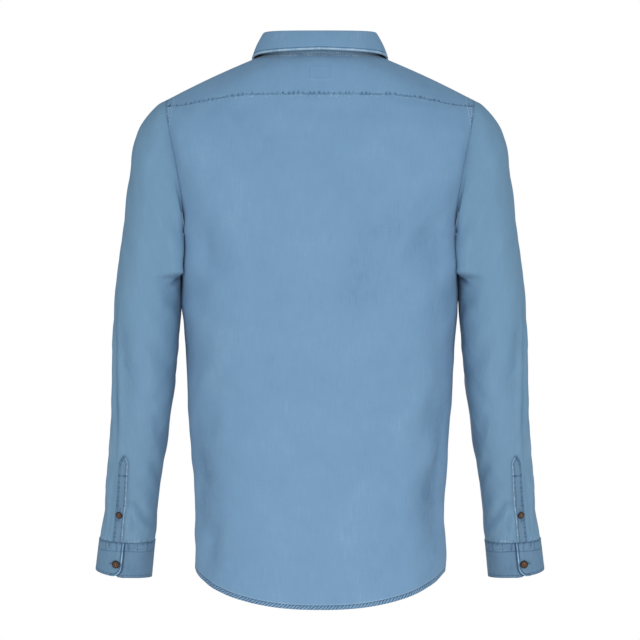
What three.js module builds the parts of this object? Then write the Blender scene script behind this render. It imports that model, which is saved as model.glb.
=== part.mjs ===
// A long-sleeved denim shirt, buttoned up and filled out as if worn, but empty.
// Millimetres. +Z is up, the front faces -Y and +X is the wearer's left.
// The origin is the middle of the neck opening, at the height of the back neck seam.
import * as THREE from "three";

// Cloth
const CLOTH = 1.5; // wall of one layer of denim
const DOUBLE = 2.2; // wall of the cuffs and the collar
const SEAM = 0.3; // gap between two pieces that are sewn together
const LAY = 0.5; // gap under a piece that lies on another
const BEVEL = 0.7; // how far a wall's inner face stops short at a sewn edge
const HEM_FOLD = 0.8; // how far the turned hem stands proud
const HEM_HEIGHT = 8;

// Neckline: an oval round the neck, higher at the back
const NECK = { half: 80, back: 62, front: 60, sideZ: 2, pitZ: -66, dip: 1.6 };
const STAND = { back: 26, side: 26.5, front: 26, lean: 5 };
const LEAF = { fold: 3 };

// Shoulders and armholes
const UNDERARM_Z = -250;
const ARMHOLE = { scoopBack: 5, scoopFront: 11, slant: 1.4 }; // slant moves the back's scoop down
const YOKE = { backAngle: 30, frontAngle: -30, cornerTurn: 60, frontTurn: 120, seamZ: -58, seamBow: 0.5, crown: 2.2 };
const ANGLE_STEP = 15; // degrees between two columns of a sleeve

// Front opening
const PLACKET_HALF = 16;
const UNDER_SHIFT = CLOTH + LAY + 0.3; // how far the wearer's right front lies under the left one

// Sections of the torso from the hem to the underarm
const TORSO = [
  { sideZ: -704, backZ: -750.5, frontZ: -732, half: 172.5, back: 123, front: 113 },
  { sideZ: -672, backZ: -708, frontZ: -698, half: 171.5, back: 121, front: 114 },
  { sideZ: -628, backZ: -656, frontZ: -648, half: 171, back: 119, front: 116 },
  { sideZ: -575, backZ: -590, frontZ: -586, half: 174, back: 117, front: 118 },
  { sideZ: -516, backZ: -522, frontZ: -520, half: 178, back: 117, front: 120 },
  { sideZ: -450, backZ: -451, frontZ: -451, half: 182.5, back: 119, front: 122 },
  { sideZ: -380, backZ: -380, frontZ: -380, half: 186.5, back: 123, front: 124 },
  { sideZ: -325, backZ: -325, frontZ: -325, half: 190.6, back: 126.5, front: 125 },
  { sideZ: -250, backZ: -250, frontZ: -250, half: 188, back: 129, front: 125 },
];
const SQUARENESS = 2.4; // exponent of the torso's oval section

// How deep the shirt is at the centre back and the centre front, above the underarm
const CENTRE_BACK = [
  { z: -250, depth: 129 },
  { z: -200, depth: 129.5 },
  { z: -150, depth: 125 },
  { z: -100, depth: 114 },
  { z: -58, depth: 98 },
];
const CENTRE_FRONT = [
  { z: -250, depth: 125 },
  { z: -200, depth: 120 },
  { z: -150, depth: 108 },
  { z: -100, depth: 86 },
  { z: -66, depth: 60 },
];

// Rows of the fronts above the underarm. angle is round the armhole; a row starts
// at the centre front at startZ, or on the neckline where turn is given.
const CHEST = [
  { angle: -165, startZ: -222, fullness: 2 },
  { angle: -150, startZ: -192, fullness: 5 },
  { angle: -135, startZ: -160, fullness: 10 },
  { angle: -120, startZ: -128, fullness: 15 },
  { angle: -105, startZ: -97, fullness: 19 },
  { angle: -90, startZ: -66, fullness: 22 },
  { angle: -75, turn: 165, fullness: 20 },
  { angle: -60, turn: 150, fullness: 15 },
  { angle: -45, turn: 135, fullness: 9 },
  { angle: -30, turn: 120, fullness: 3 },
];

// Rings of a sleeve from the armhole to the cuff. outX, outZ is the point furthest from
// the body, inX, inZ the nearest one; lean tips the ring's back down as the forearm comes forward.
const SLEEVE = [
  { outX: 212, outZ: -59.5, inX: 188, inZ: -250, midY: 0, half: 68, lean: 0 },
  { outX: 225, outZ: -66.3, inX: 189.2, inZ: -256, midY: 0, half: 70, lean: 0 },
  { outX: 240, outZ: -83, inX: 189.5, inZ: -265, midY: 0, half: 71, lean: 0 },
  { outX: 252, outZ: -105, inX: 189.9, inZ: -275, midY: 0, half: 71.5, lean: 0 },
  { outX: 260, outZ: -138, inX: 190.4, inZ: -288, midY: 1, half: 71.5, lean: 0 },
  { outX: 265, outZ: -180, inX: 191, inZ: -304, midY: 2, half: 71, lean: 0 },
  { outX: 271, outZ: -230, inX: 191.4, inZ: -324, midY: 2, half: 70, lean: 0 },
  { outX: 278, outZ: -288, inX: 191.2, inZ: -350, midY: 3, half: 69, lean: 1 },
  { outX: 284, outZ: -350, inX: 194.5, inZ: -386, midY: 3, half: 67.5, lean: 2 },
  { outX: 286.5, outZ: -410, inX: 198, inZ: -428, midY: 1, half: 65, lean: 3 },
  { outX: 287.5, outZ: -468, inX: 204, inZ: -476, midY: -4, half: 61, lean: 4 },
  { outX: 290, outZ: -524, inX: 212, inZ: -527, midY: -14, half: 56, lean: 4 },
  { outX: 294, outZ: -576, inX: 221, inZ: -577, midY: -27, half: 51, lean: 4 },
  { outX: 300, outZ: -624, inX: 227, inZ: -625, midY: -43, half: 46, lean: 4 },
  { outX: 308, outZ: -667, inX: 231, inZ: -670, midY: -57, half: 40, lean: 4 },
];
const SLEEVE_SQUARENESS = 2.2;

// Cuffs, on from the last ring of the sleeve
const CUFF = { endOutX: 314, endOutZ: -710, endInX: 237, endInZ: -722, endY: -70, half: 38.5, lean: 6 };
const CUFF_OVER_END = 87.5; // degrees round the sleeve, where the upper end stops
const CUFF_LAP = 32; // degrees that the lower end runs on beneath it
const CUFF_BUTTON = { angle: 77, height: 0.37 }; // height is a share of the cuff's
const CUFF_PROUD = 0.8;
const CUFF_CORNER = 12;

// Sleeve plackets, on the back of the forearm
const SLIT = { from: 62.5, to: 82, topRow: 11.575, pointRow: 11.375, bottomRow: 13.97, buttonRow: 13.08, lay: 0.8 };

// Folds that show from a step away. depth below zero is a trough.
const TORSO_FOLDS = [
  { side: "back", share: 0.7, z: -640, length: 170, width: 0.13, depth: -4 },
  { side: "back", share: 0.42, z: -330, length: 150, width: 0.12, depth: -1.5 },
  { side: "front", share: 0.66, z: -620, length: 190, width: 0.14, depth: -4 },
  { side: "front", share: 0.36, z: -700, length: 120, width: 0.12, depth: 2.5 },
];
const SLEEVE_FOLDS = [
  { angle: 36, row: 10.6, length: 2.7, width: 15, depth: -3.5 },
  { angle: 96, row: 13.4, length: 1.0, width: 14, depth: -3.5 },
  { angle: 132, row: 12.6, length: 1.1, width: 20, depth: -3 },
  { angle: 150, row: 8.1, length: 0.9, width: 22, depth: -3 },
  { angle: -95, row: 9.7, length: 0.8, width: 28, depth: -4 },
  { angle: -40, row: 12, length: 1.6, width: 20, depth: -3 },
];

// Buttons
const BUTTON = { radius: 5.75, height: 2.6, rim: 1.3, segments: 14 };
const SMALL_BUTTON = { radius: 5, height: 2.4, rim: 1.1, segments: 14 };
const FRONT_BUTTON_Z = [-110, -200, -290, -380, -470, -560];

const INDIGO = new THREE.Color(0.36, 0.53, 0.69);
const denim = new THREE.MeshStandardMaterial({ color: INDIGO, roughness: 0.9, metalness: 0 });
const horn = new THREE.MeshStandardMaterial({ color: new THREE.Color(0.24, 0.14, 0.08), roughness: 0.35 });

const UP = new THREE.Vector3(0, 0, 1);
const vec = (x, y, z) => new THREE.Vector3(x, y, z);
const mix = (a, b, t) => a + (b - a) * t;
const radians = THREE.MathUtils.degToRad;
const ease = (t) => THREE.MathUtils.smoothstep(t, 0, 1);
const bump = (t) => (Math.abs(t) < 1 ? (1 - t * t) ** 2 : 0);
const power = (value, exponent) => Math.sign(value) * Math.abs(value) ** exponent;

// Reads a column of a table whose rows run along key, in straight lines between rows.
function readTable(table, key, column, at) {
  const rising = table[0][key] < table[1][key] ? 1 : -1;
  let i = 0;
  while (i < table.length - 2 && rising * (at - table[i + 1][key]) > 0) i += 1;
  const [a, b] = [table[i], table[i + 1]];
  return mix(a[column], b[column], (at - a[key]) / (b[key] - a[key]));
}

// Point of the neckline. turn is 0 at the back, 90 at the wearer's left and 180 in front.
function neckline(turn) {
  const c = Math.cos(radians(turn));
  const depth = c > 0 ? NECK.back : NECK.front;
  const fall = c > 0 ? NECK.sideZ * c * c : (NECK.sideZ - NECK.pitZ) * (-c) ** NECK.dip;
  return vec(NECK.half * Math.sin(radians(turn)), depth * c, NECK.sideZ - fall);
}

// Point of a ring of the sleeve. angle is 0 on the outside, 90 at the back and 180 inside.
function ringPoint(ring, angle, squareness) {
  const across = power(Math.cos(radians(angle)), 2 / squareness);
  const deep = power(Math.sin(radians(angle)), 2 / squareness);
  const lean = radians(ring.lean);
  return vec(
    (ring.outX + ring.inX) / 2 + ((ring.outX - ring.inX) / 2) * across,
    ring.midY + ring.half * deep * Math.cos(lean),
    (ring.outZ + ring.inZ) / 2 + ((ring.outZ - ring.inZ) / 2) * across - ring.half * deep * Math.sin(lean),
  );
}

// Point of the armhole seam, at the same angles. It is scooped towards the centre.
function armhole(angle) {
  const p = ringPoint(SLEEVE[0], angle, SLEEVE_SQUARENESS);
  const deep = Math.sin(radians(angle));
  const scoopBack = ARMHOLE.scoopBack * (1 - ARMHOLE.slant * Math.cos(radians(angle)));
  p.x -= (deep > 0 ? scoopBack : ARMHOLE.scoopFront) * deep * deep;
  return p;
}

// A row of a body panel: from its start point at the centre to its end point at the side.
// bow 1 is a quarter of the torso's oval, and 0 is a straight line.
function rowPoint(row, share) {
  const s = Math.abs(share);
  const turn = (s * Math.PI) / 2;
  const along = mix(s, Math.sin(turn) ** (2 / SQUARENESS), row.bow);
  const deep = mix(1 - s, Math.max(Math.cos(turn), 0) ** (2 / SQUARENESS), row.bow);
  const fall = row.level ? row.level(s) : 1 - Math.cos(turn) ** 1.5;
  const swell = row.onNeck ? Math.sin(Math.PI * s) : 6.75 * s * s * (1 - s);
  const y = mix(row.end.y, row.start.y, deep) + row.fullness * swell;
  const x = mix(row.start.x, row.end.x, along);
  return vec(share < 0 ? 2 * row.start.x - x : x, y, mix(row.start.z, row.end.z, fall));
}

function foldDepth(side, share, z) {
  return TORSO_FOLDS.filter((f) => f.side === side).reduce(
    (sum, f) => sum + f.depth * bump((share - f.share) / f.width / 1.6) * bump((z - f.z) / f.length),
    0,
  );
}

// Rows of the back panel on the wearer's left, from the hem to the yoke seam
function backRows() {
  const rows = TORSO.map((t) => ({
    start: vec(0, t.back, t.backZ),
    end: vec(t.half, 0, t.sideZ),
    bow: 1,
    fullness: 0,
  }));
  for (let angle = 180 - ANGLE_STEP; angle >= YOKE.backAngle; angle -= ANGLE_STEP) {
    const t = (180 - angle) / (180 - YOKE.backAngle);
    const z = mix(UNDERARM_Z, YOKE.seamZ, t);
    rows.push({
      start: vec(0, readTable(CENTRE_BACK, "z", "depth", z), z),
      end: armhole(angle),
      bow: mix(1, YOKE.seamBow, t),
      fullness: 6 * Math.sin(Math.PI * t) * t,
      level: (s) => mix(s * s, ease((s - 0.3) / 0.6), t * t),
    });
  }
  return rows;
}

// Rows of the front on the wearer's left, from the hem to the front yoke seam
function frontRows() {
  const rows = TORSO.map((t) => ({
    start: vec(0, -t.front, t.frontZ),
    end: vec(t.half, 0, t.sideZ),
    bow: 1,
    fullness: 0,
  }));
  CHEST.forEach((c, i) => {
    const t = (i + 1) / CHEST.length;
    const onNeck = c.turn !== undefined;
    const y = onNeck ? 0 : -readTable(CENTRE_FRONT, "z", "depth", c.startZ);
    rows.push({
      start: onNeck ? neckline(c.turn) : vec(0, y, c.startZ),
      end: armhole(c.angle),
      bow: mix(1, 0.1, t),
      fullness: -c.fullness,
      level: (s) => (onNeck ? mix(s * s, s, t) : s * s),
      onNeck,
    });
  });
  return rows;
}

// Outward normals of a grid of points. away(p) is roughly outward, and settles the sign.
function normals(grid, away, wrap) {
  const last = grid.length - 1;
  return grid.map((line, r) =>
    line.map((p, c) => {
      const n = line.length;
      const left = wrap ? line[(c + n - 1) % n] : line[Math.max(c - 1, 0)];
      const right = wrap ? line[(c + 1) % n] : line[Math.min(c + 1, n - 1)];
      const along = right.clone().sub(left);
      const up = grid[Math.min(r + 1, last)][c].clone().sub(grid[Math.max(r - 1, 0)][c]);
      const normal = along.cross(up).normalize();
      return normal.dot(away(p, r)) < 0 ? normal.negate() : normal;
    }),
  );
}

// Points moved out along their normals, by a distance or by a function of row and column
function moved(grid, away, distance, wrap = false) {
  const out = normals(grid, away, wrap);
  const by = typeof distance === "function" ? distance : () => distance;
  return grid.map((line, r) => line.map((p, c) => p.clone().addScaledVector(out[r][c], by(r, c))));
}

// Draws the edges of a grid back by a distance, so that sewn pieces stay apart
function drawnBack(grid, distance, edges) {
  const made = grid.map((line) => line.map((p) => p.clone()));
  const pull = (p, q) => p.add(q.clone().sub(p).setLength(distance));
  const [rows, columns] = [grid.length, grid[0].length];
  if (edges.includes("bottom")) made[0].forEach((p, c) => pull(p, grid[1][c]));
  if (edges.includes("top")) made[rows - 1].forEach((p, c) => pull(p, grid[rows - 2][c]));
  if (edges.includes("left")) made.forEach((line, r) => pull(line[0], grid[r][1]));
  if (edges.includes("right")) made.forEach((line, r) => pull(line[columns - 1], grid[r][columns - 2]));
  return made;
}

// A closed wall between an outer and an inner grid of points. keep(r, c) is false for
// the cells that are cut away, and the cut edges get walls of their own.
function wallBetween(outer, inner, wrap = false, keep = () => true) {
  const [rows, columns] = [outer.length, outer[0].length];
  const used = new Map();
  const points = [];
  const at = (layer, r, c) => {
    const key = (layer * rows + r) * columns + (c % columns);
    if (!used.has(key)) used.set(key, points.push((layer ? inner : outer)[r][c % columns]) - 1);
    return used.get(key);
  };
  const faces = [];
  const quad = (a, b, c, d) => faces.push(a, b, c, a, c, d);
  const rim = (r, c, r2, c2) => quad(at(0, r, c), at(1, r, c), at(1, r2, c2), at(0, r2, c2));
  const across = wrap ? columns : columns - 1;
  const kept = (r, c) => {
    const inside = r >= 0 && r < rows - 1 && (wrap || (c >= 0 && c < across));
    return inside && keep(r, (c + across) % across);
  };
  for (let r = 0; r < rows - 1; r += 1) {
    for (let c = 0; c < across; c += 1) {
      if (!kept(r, c)) continue;
      quad(at(0, r, c), at(0, r, c + 1), at(0, r + 1, c + 1), at(0, r + 1, c));
      quad(at(1, r, c), at(1, r + 1, c), at(1, r + 1, c + 1), at(1, r, c + 1));
      if (!kept(r - 1, c)) rim(r, c, r, c + 1);
      if (!kept(r + 1, c)) rim(r + 1, c + 1, r + 1, c);
      if (!kept(r, c - 1)) rim(r + 1, c, r, c);
      if (!kept(r, c + 1)) rim(r, c + 1, r + 1, c + 1);
    }
  }
  let volume = 0;
  for (let i = 0; i < faces.length; i += 3) {
    const [a, b, c] = faces.slice(i, i + 3).map((k) => points[k]);
    volume += a.dot(b.clone().cross(c));
  }
  const index = volume < 0 ? faces.reverse() : faces;
  return new THREE.BufferGeometry().setFromPoints(points).setIndex(index);
}

// A wall of cloth whose outer face is the grid. sewn names the edges that meet another piece.
function cloth(grid, away, { wall = CLOTH, sewn = [], wrap = false, keep } = {}) {
  const outer = drawnBack(grid, SEAM / 2, sewn);
  const inner = drawnBack(moved(grid, away, -wall, wrap), SEAM / 2 + BEVEL, sewn);
  return wallBetween(outer, inner, wrap, keep);
}

const shirt = new THREE.Group();
function add(name, geometry, material = denim) {
  const mesh = new THREE.Mesh(geometry, material);
  mesh.name = name;
  shirt.add(mesh);
  return mesh;
}
const mirrored = (grid) => grid.map((line) => line.map((p) => vec(-p.x, p.y, p.z)));
const fromAxis = (p) => vec(p.x, p.y, 0);
const fromChest = (p) => vec(p.x, p.y, p.z + 200);

// Puts two extra rows near the hem, so that its turned edge stands proud
function withHem(grid, away) {
  const hem = grid[0];
  const step = hem.map((p, c) => grid[1][c].clone().sub(p));
  const above = (distance) => hem.map((p, c) => p.clone().add(step[c].clone().setLength(distance)));
  const all = [hem, above(HEM_HEIGHT), above(HEM_HEIGHT + 1), ...grid.slice(1)];
  return moved(all, away, (r) => (r < 2 ? HEM_FOLD : 0));
}

// Back panel
const BACK_COLUMNS = 8; // on each side of the centre
const backHalf = backRows();
const backLine = (row) => {
  const points = [];
  for (let c = -BACK_COLUMNS; c <= BACK_COLUMNS; c += 1) {
    const p = rowPoint(row, Math.abs(c) / BACK_COLUMNS);
    p.y += foldDepth("back", Math.abs(c) / BACK_COLUMNS, p.z);
    points.push(c < 0 ? vec(-p.x, p.y, p.z) : p);
  }
  return points;
};
const backGrid = backHalf.map(backLine);
add("back", cloth(withHem(backGrid, fromAxis), fromAxis, { sewn: ["top", "left", "right"] }));

// Fronts. The first columns run past the centre, where one front laps over the other.
const lapShare = (row) => {
  let share = 0;
  while (rowPoint(row, share).x < PLACKET_HALF) share += 0.002;
  return share;
};
const FRONT_SHARES = [0.22, 0.34, 0.46, 0.58, 0.7, 0.8, 0.9, 1];
function frontLine(row) {
  const lap = row.onNeck ? 0 : lapShare(row);
  const first = row.onNeck ? [-0.16, -0.08, 0] : [-lap, 0, lap];
  return [...first, ...FRONT_SHARES].map((share) => {
    const p = rowPoint(row, share);
    p.y -= foldDepth("front", Math.abs(share), p.z);
    return p;
  });
}
const frontGrid = frontRows().map(frontLine);
// the lap ends on the neckline, at the pit of the neck
const pitRow = TORSO.length + CHEST.findIndex((c) => c.turn !== undefined) - 1;
const lapTurn = THREE.MathUtils.radToDeg(Math.asin(PLACKET_HALF / NECK.half));
[180 + lapTurn, 180, 180 - lapTurn].forEach((turn, c) => frontGrid[pitRow][c].copy(neckline(turn)));
const leftFront = withHem(frontGrid, fromAxis);
const HEM_ROWS = leftFront.length - frontGrid.length;
const belowNeck = (r, c) => c > 1 || r < pitRow + HEM_ROWS;
add("front_left", cloth(leftFront, fromAxis, { sewn: ["top", "right"], keep: belowNeck }));
const underEdge = (r, c) => (c < 3 && r <= pitRow + HEM_ROWS ? -UNDER_SHIFT : 0);
const rightFront = moved(mirrored(leftFront), fromAxis, underEdge);
add("front_right", cloth(rightFront, fromAxis, { sewn: ["top", "right"], keep: belowNeck }));

// Button placket down the wearer's left front
const placketBase = leftFront.slice(0, pitRow + HEM_ROWS + 1).map((line) => line.slice(0, 3));
const placketGrid = moved(placketBase, fromAxis, LAY + CLOTH);
add("front_placket", cloth(placketGrid, fromAxis, { sewn: ["top"] }));

// Yoke: from the neckline out to the back seam and over the shoulders
const YOKE_ROWS = 4;
function yokeColumns() {
  const columns = [];
  for (let c = 0; c <= BACK_COLUMNS; c += 1) {
    const share = c / BACK_COLUMNS;
    const seam = backHalf.at(-1);
    const end = rowPoint(seam, share);
    const down = rowPoint(backHalf.at(-2), share).sub(end).normalize();
    columns.push({ turn: YOKE.cornerTurn * share, end, down, hold: 1 - ease(share) });
  }
  for (let angle = YOKE.backAngle - ANGLE_STEP; angle >= YOKE.frontAngle; angle -= ANGLE_STEP) {
    const t = (YOKE.backAngle - angle) / (YOKE.backAngle - YOKE.frontAngle);
    columns.push({ turn: mix(YOKE.cornerTurn, YOKE.frontTurn, t), end: armhole(angle), down: UP, hold: 0 });
  }
  return columns;
}
function yokeLine({ turn, end, down, hold }) {
  const start = neckline(turn);
  const chord = end.clone().sub(start);
  const length = chord.length();
  const slope = radians(mix(32, 25, Math.min(turn / 90, 1)));
  const flat = chord.clone().setZ(0).normalize();
  const leave = flat.multiplyScalar(Math.cos(slope)).addScaledVector(UP, -Math.sin(slope));
  const reach = chord.clone().normalize().lerp(down, hold).normalize();
  return Array.from({ length: YOKE_ROWS + 1 }, (_, r) => {
    const t = r / YOKE_ROWS;
    const p = start.clone().multiplyScalar(2 * t ** 3 - 3 * t ** 2 + 1);
    p.addScaledVector(leave, length * (t ** 3 - 2 * t ** 2 + t));
    p.addScaledVector(end, 3 * t ** 2 - 2 * t ** 3);
    p.addScaledVector(reach, length * (t ** 3 - t ** 2));
    return p.addScaledVector(UP, YOKE.crown * Math.sin(Math.PI * t));
  });
}
const yokeHalf = yokeColumns().map(yokeLine);
const frontSeam = frontGrid.at(-1).slice(2);
const seamAt = (share) => {
  const spot = share * (frontSeam.length - 1);
  const i = Math.min(Math.floor(spot), frontSeam.length - 2);
  return frontSeam[i].clone().lerp(frontSeam[i + 1], spot - i);
};
const yokeEnd = yokeHalf.length - 1;
yokeHalf[yokeEnd] = yokeHalf[yokeEnd].map((p, r) => (r && r < YOKE_ROWS ? seamAt(r / YOKE_ROWS) : p));
const yokeAcross = [...mirrored(yokeHalf.slice(1)).reverse(), ...yokeHalf];
const yokeGrid = Array.from({ length: YOKE_ROWS + 1 }, (_, r) => yokeAcross.map((line) => line[YOKE_ROWS - r]));
add("yoke", cloth(yokeGrid, fromChest, { sewn: ["bottom", "top", "left", "right"] }));

// Collar stand: a band on the neckline whose ends lap at the centre front
function standTop(turn) {
  const base = neckline(turn);
  const c = Math.cos(radians(turn));
  const rise = c > 0 ? mix(STAND.side, STAND.back, c * c) : mix(STAND.side, STAND.front, -c);
  const inward = vec(base.x, base.y, 0).setLength(STAND.lean);
  return base.sub(inward).addScaledVector(UP, rise);
}
const standTurns = [-180 - lapTurn];
for (let turn = -180; turn <= 180; turn += ANGLE_STEP) standTurns.push(turn);
standTurns.push(180 + lapTurn);
const STAND_ROWS = 2;
const standGrid = Array.from({ length: STAND_ROWS + 1 }, (_, r) =>
  standTurns.map((turn) => neckline(turn).lerp(standTop(turn), r / STAND_ROWS).addScaledVector(UP, SEAM)),
);
// the wearer's right end, with turns below zero, passes beneath the left one
const standUnder = (r, c) => -(DOUBLE + LAY) * ease((-standTurns[c] - 150) / (180 - lapTurn - 150));
add("collar_stand", cloth(moved(standGrid, fromAxis, standUnder), fromAxis, { wall: DOUBLE, sewn: ["top"] }));

// Collar leaf: rolls over at the top of the stand and comes down outside it.
// edgeOut and edgeUp place its edge from the top of the stand, and swing moves it sideways.
const LEAF_EDGE = [
  { turn: 0, edgeOut: 21, edgeUp: -21.5, swing: 0 },
  { turn: 45, edgeOut: 20, edgeUp: -24.2, swing: 0 },
  { turn: 90, edgeOut: 19, edgeUp: -29, swing: 0 },
  { turn: 120, edgeOut: 24, edgeUp: -34.3, swing: 2 },
  { turn: 150, edgeOut: 34, edgeUp: -42, swing: 12 },
  { turn: 178, edgeOut: 42, edgeUp: -50, swing: 38 },
];
// Sections of the roll, measured out and up from the stand's top: the outer face and the inner one
const LEAF_ROLL = [
  { out: -DOUBLE, up: 0.95, inOut: 0, inUp: 0.95 },
  { out: -DOUBLE + 0.2, up: LEAF.fold, inOut: 0.2, inUp: LEAF.fold - 0.6 },
  { out: 0.8, up: LEAF.fold + 2.4, inOut: 1, inUp: LEAF.fold },
  { out: 3.8, up: LEAF.fold + 0.8, inOut: 1.8, inUp: LEAF.fold - 0.6 },
];
const LEAF_STEPS = 4;
function leafColumn(turn) {
  const side = turn < 0 ? -1 : 1;
  const edge = (column) => readTable(LEAF_EDGE, "turn", column, Math.abs(turn));
  const top = standTop(turn);
  const out = vec(top.x, top.y, 0).normalize();
  const place = (o, u, sway = 0) => {
    const p = top.clone().addScaledVector(out, o).addScaledVector(UP, u);
    return p.add(vec(side * sway, 0, 0));
  };
  const roll = LEAF_ROLL.map((k) => [place(k.out, k.up), place(k.inOut, k.inUp)]);
  const last = LEAF_ROLL.at(-1);
  const fall = Array.from({ length: LEAF_STEPS }, (_, i) => {
    const t = (i + 1) / LEAF_STEPS;
    const o = mix(last.out, edge("edgeOut"), t) + 1.5 * Math.sin(Math.PI * t);
    const u = mix(last.up, edge("edgeUp"), t);
    const sway = edge("swing") * t;
    return [place(o, u, sway), place(o - DOUBLE, u - 0.9, sway)];
  });
  return [...roll, ...fall];
}
const leafTurns = [-178];
for (let turn = -165; turn <= 165; turn += ANGLE_STEP) leafTurns.push(turn);
leafTurns.push(178);
const leafColumns = leafTurns.map(leafColumn);
const leafRows = leafColumns[0].map((_, r) => r);
const leafFace = (face) => leafRows.map((r) => leafColumns.map((column) => column[r][face]));
add("collar_leaf", wallBetween(leafFace(0), leafFace(1)));

// Sleeves
const sleeveAngles = Array.from({ length: 360 / ANGLE_STEP }, (_, i) => i * ANGLE_STEP);
const ringMiddle = (ring) => vec((ring.outX + ring.inX) / 2, ring.midY, (ring.outZ + ring.inZ) / 2);
const turnApart = (a, b) => ((((a - b) % 360) + 540) % 360) - 180;
const sleeveFold = (angle, row) =>
  SLEEVE_FOLDS.reduce(
    (sum, f) => sum + f.depth * bump(turnApart(angle, f.angle) / f.width / 1.6) * bump((row - f.row) / f.length),
    0,
  );
const sleeveGrid = SLEEVE.map((ring, r) =>
  sleeveAngles.map((angle) => {
    if (r === 0) return armhole(angle).add(vec(0.5, 0, 0));
    const p = ringPoint(ring, angle, SLEEVE_SQUARENESS);
    const out = p.clone().sub(ringMiddle(ring)).normalize();
    return p.addScaledVector(out, sleeveFold(angle, r));
  }),
);
const fromSleeve = (p, r) => p.clone().sub(ringMiddle(SLEEVE[Math.min(r, SLEEVE.length - 1)]));
const sleeveShape = cloth(sleeveGrid, fromSleeve, { sewn: ["bottom", "top"], wrap: true });

// Point of the faceted sleeve at a row and an angle that may lie between its own
function onSleeve(grid, row, angle) {
  const r = Math.min(Math.floor(row), grid.length - 2);
  const c = Math.floor(angle / ANGLE_STEP);
  const [u, v] = [angle / ANGLE_STEP - c, row - r];
  const n = sleeveAngles.length;
  const low = grid[r][c % n].clone().lerp(grid[r][(c + 1) % n], u);
  return low.lerp(grid[r + 1][c % n].clone().lerp(grid[r + 1][(c + 1) % n], u), v);
}

// Sleeve placket with a pointed top
const slitRows = [SLIT.bottomRow, 13, 12, SLIT.topRow, mix(SLIT.topRow, SLIT.pointRow, 0.6), SLIT.pointRow];
const slitMiddle = (SLIT.from + SLIT.to) / 2;
const slitGrid = slitRows.map((row) => {
  const nearTip = Math.max(SLIT.topRow - row, 0) / (SLIT.topRow - SLIT.pointRow);
  const pinch = mix(1, 0.3, nearTip ** 2);
  const spread = [SLIT.from, mix(SLIT.from, slitMiddle, 0.5), slitMiddle, 75, SLIT.to];
  return spread.map((angle) => onSleeve(sleeveGrid, row, slitMiddle + (angle - slitMiddle) * pinch));
});
const fromSlit = (p) => p.clone().sub(ringMiddle(SLEEVE[12])).setZ(0);
const slitOuter = moved(slitGrid, fromSlit, SLIT.lay + CLOTH);
const slitShape = cloth(slitOuter, fromSlit, { sewn: ["bottom"] });

// Cuff: a band whose ends lap on the back of the wrist
const wrist = SLEEVE.at(-1);
const cuffTop = { ...wrist, outZ: wrist.outZ - SEAM, inZ: wrist.inZ - SEAM };
const cuffEnd = {
  outX: CUFF.endOutX,
  outZ: CUFF.endOutZ,
  inX: CUFF.endInX,
  inZ: CUFF.endInZ,
  midY: CUFF.endY,
  half: CUFF.half,
  lean: CUFF.lean,
};
const CUFF_ROWS = [0, 0.14, 0.4, 1];
const CUFF_COLUMNS = 26;
const cuffTurn = 360 + CUFF_LAP;
const cuffRadius = (CUFF.endOutX - CUFF.endInX) / 2;
const cuffHeight = SLEEVE.at(-1).outZ - CUFF.endOutZ;
function cuffPoint(angle, t) {
  const top = ringPoint(cuffTop, angle, SLEEVE_SQUARENESS);
  return ringPoint(cuffEnd, angle, SLEEVE_SQUARENESS).lerp(top, t);
}
const cuffAngleAt = (c, t) => {
  const below = CUFF_CORNER - t * cuffHeight; // how far the row is into the rounded corner
  const cut = below > 0 ? CUFF_CORNER - Math.sqrt(CUFF_CORNER ** 2 - below ** 2) : 0;
  const trim = THREE.MathUtils.radToDeg(cut / cuffRadius);
  return CUFF_OVER_END - trim - ((cuffTurn - 2 * trim) * c) / CUFF_COLUMNS;
};
const cuffBase = CUFF_ROWS.map((t) => Array.from({ length: CUFF_COLUMNS + 1 }, (_, c) => cuffPoint(cuffAngleAt(c, t), t)));
const cuffMiddle = ringMiddle(cuffEnd).lerp(ringMiddle(cuffTop), 0.5);
const fromCuff = (p) => p.clone().sub(cuffMiddle).setZ(0);
const cuffDip = (r, c) => {
  const angle = cuffAngleAt(c, CUFF_ROWS[r]);
  const done = CUFF_OVER_END - cuffTurn + CUFF_LAP;
  return CUFF_PROUD - (DOUBLE + LAY) * ease((done + 40 - angle) / 40);
};
const cuffGrid = moved(cuffBase, fromCuff, cuffDip);
const cuffShape = cloth(cuffGrid, fromCuff, { wall: DOUBLE, sewn: ["top"] });

// Button: a disc with a raised rim, its axis along +Y before it is turned
function buttonShape({ radius, height, rim, segments }) {
  const profile = [
    [0, 0],
    [radius * 0.8, 0],
    [radius, height * 0.45],
    [radius - rim * 0.4, height],
    [radius - rim, height],
    [radius - rim * 1.5, height * 0.7],
    [0, height * 0.7],
  ];
  return new THREE.LatheGeometry(profile.map(([x, y]) => new THREE.Vector2(x, y)), segments);
}
function addButton(name, size, point, outward, lift) {
  const mesh = add(name, buttonShape(size), horn);
  mesh.position.copy(point).addScaledVector(outward, lift);
  mesh.quaternion.setFromUnitVectors(vec(0, 1, 0), outward);
}
const BUTTON_GAP = SEAM;

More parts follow.
